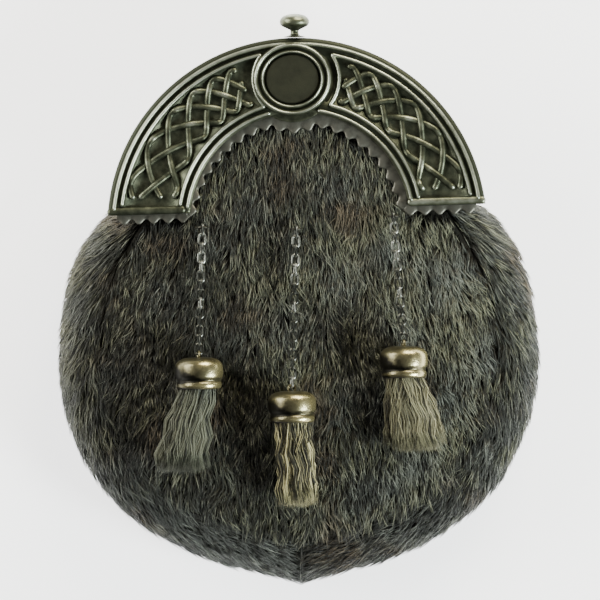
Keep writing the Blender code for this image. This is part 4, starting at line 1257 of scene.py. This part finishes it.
CHAIN_DARK = (0.014, 0.015, 0.012, 1)
CHAIN_MIDDLE = (0.19, 0.195, 0.17, 1)
CHAIN_BRIGHT = (0.56, 0.57, 0.51, 1)
CHAIN_METAL = metal_look(CHAIN_DARK, CHAIN_MIDDLE, CHAIN_BRIGHT, 0.34)
CHAIN_FINISH = new_finish("dull_grey_wire", CHAIN_METAL, Metallic=0.85)
half_turn = np.radians(np.linspace(0, 180, LINK_STEPS // 2))
bend = (LINK_WIDTH - WIRE) / 2
one_link = tube_faces(LINK_STEPS, WIRE_SIDES, closed=True)[0][None, :, ::-1]
for name, staple_x, staple_y, cap_x, cap_y, *_hair in TASSELS:
    centres = chain_line(staple_x, staple_y, cap_x, cap_y)
    pitch = np.linalg.norm(np.diff(centres, axis=0), axis=1).mean()
    straight = (pitch + 2 * WIRE - LINK_BITE - LINK_WIDTH) / 2
    upper = np.stack([bend * np.cos(half_turn), bend * np.sin(half_turn) + straight], -1)
    link = wire(np.concatenate([upper, -upper]))
    axes = link_frames(np.gradient(centres, axis=0), np.arange(len(centres)))
    points = np.einsum("abk,nkj->nabj", link, axes) + centres[:, None, None]
    first = np.arange(len(centres))[:, None, None] * LINK_STEPS * WIRE_SIDES
    faces = (one_link + first).reshape(-1, 4)
    rubbed = np.random.default_rng(70).uniform(-0.1, 0.5, (len(centres), 1, 1))
    wear = rubbed + 0.35 * (np.abs(link[..., 1]) > straight + 0.5 * bend)
    chain = piece(f"cable_chain_{name}", points.reshape(-1, 3), [faces], CHAIN_FINISH, wear=wear)
    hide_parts(f"chain_{name}")
    bent = smooth(STAPLE_LINE, np.linspace(0, STAPLE_LINE[-1][0], STAPLE_STEPS)) * (1, -1)
    points = (wire(bent, closed=False)[..., [0, 2, 1]] + (staple_x, staple_y, CHAIN_DEPTH)).reshape(-1, 3)
    faces = tube_faces(STAPLE_STEPS, WIRE_SIDES)
    staple = piece(f"staple_{name}", points, faces, GREY_FINISH, wear=np.full(len(points), 0.1))
    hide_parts(f"chain_staple_{name}")

# ------------------------------------------------------------------------------ The tassels' caps
# Spun brass caps gone brown: a shallow dome, a belly, a dark groove and a bead round the mouth, with a
# wire eye on top for the chain's last link.

EYE_STEPS = 24
CAP_SECTION = [
    # step, drop, radius, wear: dark in the groove and bright on the bead, and painted light and shade,
    # lighter on the dome's shoulder and darker down the belly
    (0, 0.0, 0.05, 0.5),
    (1, 0.02, 3.0, 0.5),
    (2, 0.25, 5.8, 0.6),
    (3, 1.2, 8.3, 0.7),
    (4, 2.7, 9.75, 0.8),
    (5, 4.4, 10.2, 0.7),
    (6, 6.6, 10.25, 0.5),
    (7, 8.3, 10.0, 0.4),
    (8, 9.2, 9.4, 0.2),
    (9, 9.8, 9.05, 0.1),
    (10, 10.4, 9.2, 0.3),
    (11, 11.1, 9.5, 0.7),
    (12, 12.0, 9.5, 0.9),
    (13, 12.8, 9.2, 0.6),
    (14, 13.2, 8.8, 0.2),
    (15, 13.1, 8.3, 0.0),
    (16, 9.0, 8.1, 0.0),
    (17, 4.8, 7.9, 0.0),
    (18, 4.3, 0.05, 0.0),
]
BRASS_DARK = (0.010, 0.009, 0.006, 1)
BRASS_MIDDLE = (0.150, 0.135, 0.075, 1)
BRASS_BRIGHT = (0.49, 0.43, 0.215, 1)
BRASS = metal_look(BRASS_DARK, BRASS_MIDDLE, BRASS_BRIGHT, 0.32)
BRASS_FINISH = new_finish("browned_brass", BRASS, Metallic=0.9)

eye_turn = np.arange(EYE_STEPS) * 2 * np.pi / EYE_STEPS
eye_wire = wire(EYE_RADIUS * np.stack([np.cos(eye_turn), np.sin(eye_turn)], -1))
eye_faces = [tube_faces(EYE_STEPS, WIRE_SIDES, closed=True)[0][:, ::-1]]
for name, staple_x, staple_y, cap_x, cap_y, *_hair in TASSELS:
    points, faces, wear = turned(CAP_SECTION, (cap_x, cap_y, CAP_DEPTH), steps=3, downwards=True)
    last = len(chain_line(staple_x, staple_y, cap_x, cap_y))
    axes = link_frames(np.array([[0.0, -1.0, 0.0]]), [last])[0]
    eye_points = (eye_wire @ axes + (cap_x, cap_y + EYE_RISE, CAP_DEPTH)).reshape(-1, 3)
    eye = (eye_points, eye_faces, np.full(len(eye_points), 0.5))
    # Painted light and shade: each cap is painted lighter on its right side and darker on its left, most on
    # its lower part, as the light falls from the right.
    rubbed = (points[:, 0] - cap_x) / 10 * np.clip((cap_y - points[:, 1]) / 5, 0.3, 1)  # most on the right
    points, faces, wear = merged((points, faces, wear - 0.1 + 0.6 * rubbed), eye)
    cap = piece(f"brass_cap_{name}", points, faces, BRASS_FINISH, wear=wear)
    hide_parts(f"tassel_cap_{name}")

# ------------------------------------------------------------------------------ The tassels' hair
# Coarse hair tied into each cap. It leaves the cap as a round head, gathers into loose locks as it spreads,
# and is cut off nearly level.

HAIR_SECTION = [
    # way, share of the end's spread, half-depth, share of the way down to the fur
    (0.0, 0.0, 7.6, 0.0),
    (0.20, 0.04, 7.6, 0.04),
    (0.31, 0.28, 7.6, 0.15),
    (0.46, 0.50, 7.2, 0.34),
    (0.72, 0.82, 5.8, 0.6),
    (1.0, 1.0, 4.4, 1.0),
]
HAIR_HEAD_DROP = 4.7
HAIR_HEAD_RADIUS = 7.6
HAIR_END_DEPTH = 47.9
HAIR_STATIONS = 7
HAIR_WIDTHS = (0.48, 0.53, 0.53, 0.50, 0.45, 0.36)  # at each station but the tip
TASSEL_HAIRS = 2300
TASSEL_LOCKS = 26
LOCK_SPREAD = 0.92  # of the tassel's own width
LOCK_GATHER = 0.80  # how far a lock draws its hairs together
LOCK_WAVES = 2.8
WAVE_REACH = 1.1
HAIR_WANDER = (0.30, 0.1, 0.30)
# The dark core is painted shade: a dark sheet in the hide's finish inside the hair.
CORE_WAY = 0.80  # the dark core that fills a tassel ends at this share of its length
CORE_OUT = 0.52  # and is this share of its width
CORE_RINGS = 24
CORE_SIDES = 40


def inside_tassel(row, way, out, turn):
    """A point of a tassel: way down it, and out from its middle in a direction round it."""
    _name, _x, _y, cap_x, cap_y, end_x, end_y, end_half = row
    spread, half_depth, sink = np.moveaxis(smooth(HAIR_SECTION, way), -1, 0)
    half_width = HAIR_HEAD_RADIUS + (end_half - HAIR_HEAD_RADIUS) * spread
    top = cap_y - HAIR_HEAD_DROP
    x = cap_x + (end_x - cap_x) * spread + half_width * out * np.cos(turn)
    y = top + (end_y - top) * way
    z = CAP_DEPTH + (HAIR_END_DEPTH - CAP_DEPTH) * sink + half_depth * out * np.sin(turn)
    return np.stack(np.broadcast_arrays(x, y, z), -1)


def tassel_look(low, high):
    """Hair painted darker where it leaves the cap, a painted shade, and otherwise dark to pale olive by its
    shade mark and a noise.
    """

    def make(place):
        shade, tip = place.mark("shade"), place.mark("tip")
        band = place.speckle(70, 3.0, 0.6)
        light = shade * (0.55 + tip.between(0.05, 0.35) * 0.45) + (band - 0.5) * 0.5
        return {"Base Color": light.between(0.05, 0.95).mix(low, high)}

    return make


TASSEL_COLOURS = {
    # the hair's dark and pale colours
    "left": ((0.018, 0.019, 0.013, 1), (0.150, 0.155, 0.108, 1)),
    "middle": ((0.022, 0.020, 0.012, 1), (0.50, 0.455, 0.24, 1)),
    "right": ((0.022, 0.020, 0.012, 1), (0.240, 0.225, 0.130, 1)),
}
for number, row in enumerate(TASSELS):
    chance = np.random.default_rng(40 + number)
    name = row[0]
    look = tassel_look(*TASSEL_COLOURS[name])
    finish = new_finish(f"tassel_hair_{name}", look, Roughness=0.5, Specular_IOR_Level=0.3)
    lock_out = np.sqrt(chance.uniform(0.05, 1, TASSEL_LOCKS)) * LOCK_SPREAD
    lock_turn = chance.uniform(0, 2 * np.pi, TASSEL_LOCKS)
    lock = chance.integers(0, TASSEL_LOCKS, TASSEL_HAIRS)
    own_out = np.sqrt(chance.uniform(0.25, 1, TASSEL_HAIRS))[:, None]
    own_turn = chance.uniform(0, 2 * np.pi, TASSEL_HAIRS)[:, None]
    lock_length = 1 - 0.10 * chance.uniform(0, 1, TASSEL_LOCKS)[lock][:, None] * lock_out[lock][:, None]
    station = np.linspace(0, 1, HAIR_STATIONS)
    way = station * lock_length * (1 - 0.05 * chance.uniform(0, 1, (TASSEL_HAIRS, 1)))
    free = inside_tassel(row, way, own_out, own_turn)
    gathered = inside_tassel(row, way, lock_out[lock][:, None], lock_turn[lock][:, None])
    gather = LOCK_GATHER * np.clip((way - 0.12) / 0.4, 0, 1)[..., None]
    middles = free + (gathered - free) * gather
    lock_phase, own_phase = chance.uniform(0, 6.3, TASSEL_LOCKS)[lock], chance.normal(0, 0.4, TASSEL_HAIRS)
    phase = (lock_phase + own_phase)[:, None]
    wave = np.sin(2 * np.pi * LOCK_WAVES * way + phase) * np.clip(way * 3, 0, 1)
    middles[..., 0] += WAVE_REACH * wave
    wander = chance.normal(0, 1, (TASSEL_HAIRS, HAIR_STATIONS, 3)) * HAIR_WANDER
    middles = middles + wander * station[:, None]
    shade = chance.normal(0.42, 0.28, TASSEL_HAIRS) + chance.normal(0, 0.32, TASSEL_LOCKS)[lock]
    hair = hairs(f"tassel_strands_{name}", middles, HAIR_WIDTHS, finish, shade=np.clip(shade, 0, 1))
    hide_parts(f"tassel_hair_{name}")
    # A dark core in the hide's dark finish fills the tassel under its hairs: painted shade, standing in for
    # the shade deep among the hairs.
    core_way = np.linspace(0, CORE_WAY, CORE_RINGS)[:, None]
    core_turn = np.linspace(0, 2 * np.pi, CORE_SIDES, endpoint=False)
    core_points = inside_tassel(row, core_way, CORE_OUT, core_turn).reshape(-1, 3)
    core_faces = [some[:, ::-1] for some in tube_faces(CORE_RINGS, CORE_SIDES)]
    core = piece(f"tassel_shade_core_{name}", core_points, core_faces, HIDE_FINISH)
    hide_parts(f"tassel_hair_{name}")

# ------------------------------------------------------------------------------ Floor, light and camera
# A pale sheet that glows round the pouch, a painted glow; a warm soft box above and to the right, a cooler
# one low on the right, two weaker ones on the left, and a camera straight over the pouch, which lies on its
# back.

VIEW_WIDTH = 255.0
VIEW_CENTRE = (0.845, -0.436)
VIEW_ROLL = 0.739  # degrees that the pouch leans to the left in the picture
VIEW_DEPTH = 40.0  # where the view has its width: about the front of the fur
CAMERA_HEIGHT = 3000.0
SENSOR = 36.0
FLOOR_HALF = 3000.0
FLOOR_DROP = 0.1


def floor_look(place):
    """A pale sheet that glows round the pouch and fades outwards: a painted glow, not a lamp."""
    away = place.node("VectorMath", {"operation": "LENGTH"}, {0: place}, out="Value")
    glow = away.between(0.22, 0.55).mix((1, 1, 1, 1), (0.10, 0.10, 0.10, 1))
    sheet = place.speckle(30).mix((0.80, 0.80, 0.80, 1), (0.82, 0.82, 0.82, 1))
    return {"Base Color": sheet, "Emission Color": glow}


floor_points = at_depth(FLOOR_HALF * np.array([(-1, -1), (1, -1), (1, 1), (-1, 1)]), -FLOOR_DROP)
floor_finish = new_finish("floor", floor_look, Roughness=0.9, Emission_Strength=2.1)
floor = piece("floor", floor_points, [np.array([[0, 1, 2, 3]])], floor_finish)


def soft_box(name, place, size, power, colour):
    """A square area light that faces the middle of the pouch, its place and size in metres."""
    light = bpy.data.lights.new(name, "AREA")
    light.shape = "SQUARE"
    light.size = size
    light.energy = power
    light.color = colour
    thing = bpy.data.objects.new(name, light)
    bpy.context.scene.collection.objects.link(thing)
    thing.location = place
    thing.rotation_euler = Vector(place).to_track_quat("Z", "Y").to_euler()


soft_box("key", (0.45, 1.00, 0.55), 0.70, 26, (1.0, 0.92, 0.74))
soft_box("side", (1.0, -0.50, 0.60), 0.45, 38, (0.88, 0.97, 0.97))
soft_box("fill", (-0.85, 0.50, 0.50), 0.60, 15, (0.97, 0.97, 0.93))
soft_box("left", (-0.95, 0.00, 0.62), 0.40, 7, (0.97, 0.97, 0.93))
world = bpy.data.worlds.new("studio")
world.use_nodes = True
world.node_tree.nodes["Background"].inputs[0].default_value = (1, 1, 1, 1)
world.node_tree.nodes["Background"].inputs[1].default_value = 0.13
bpy.context.scene.world = world

camera_data = bpy.data.cameras.new("camera")
camera_data.sensor_width = SENSOR
camera_data.lens = SENSOR * CAMERA_HEIGHT / VIEW_WIDTH
camera_data.clip_end = 20
camera = bpy.data.objects.new("camera", camera_data)
camera.location = (VIEW_CENTRE[0] * MM, VIEW_CENTRE[1] * MM, (CAMERA_HEIGHT + VIEW_DEPTH) * MM)
camera.rotation_euler = (0.0, 0.0, -math.radians(VIEW_ROLL))
bpy.context.scene.collection.objects.link(camera)
bpy.context.scene.camera = camera
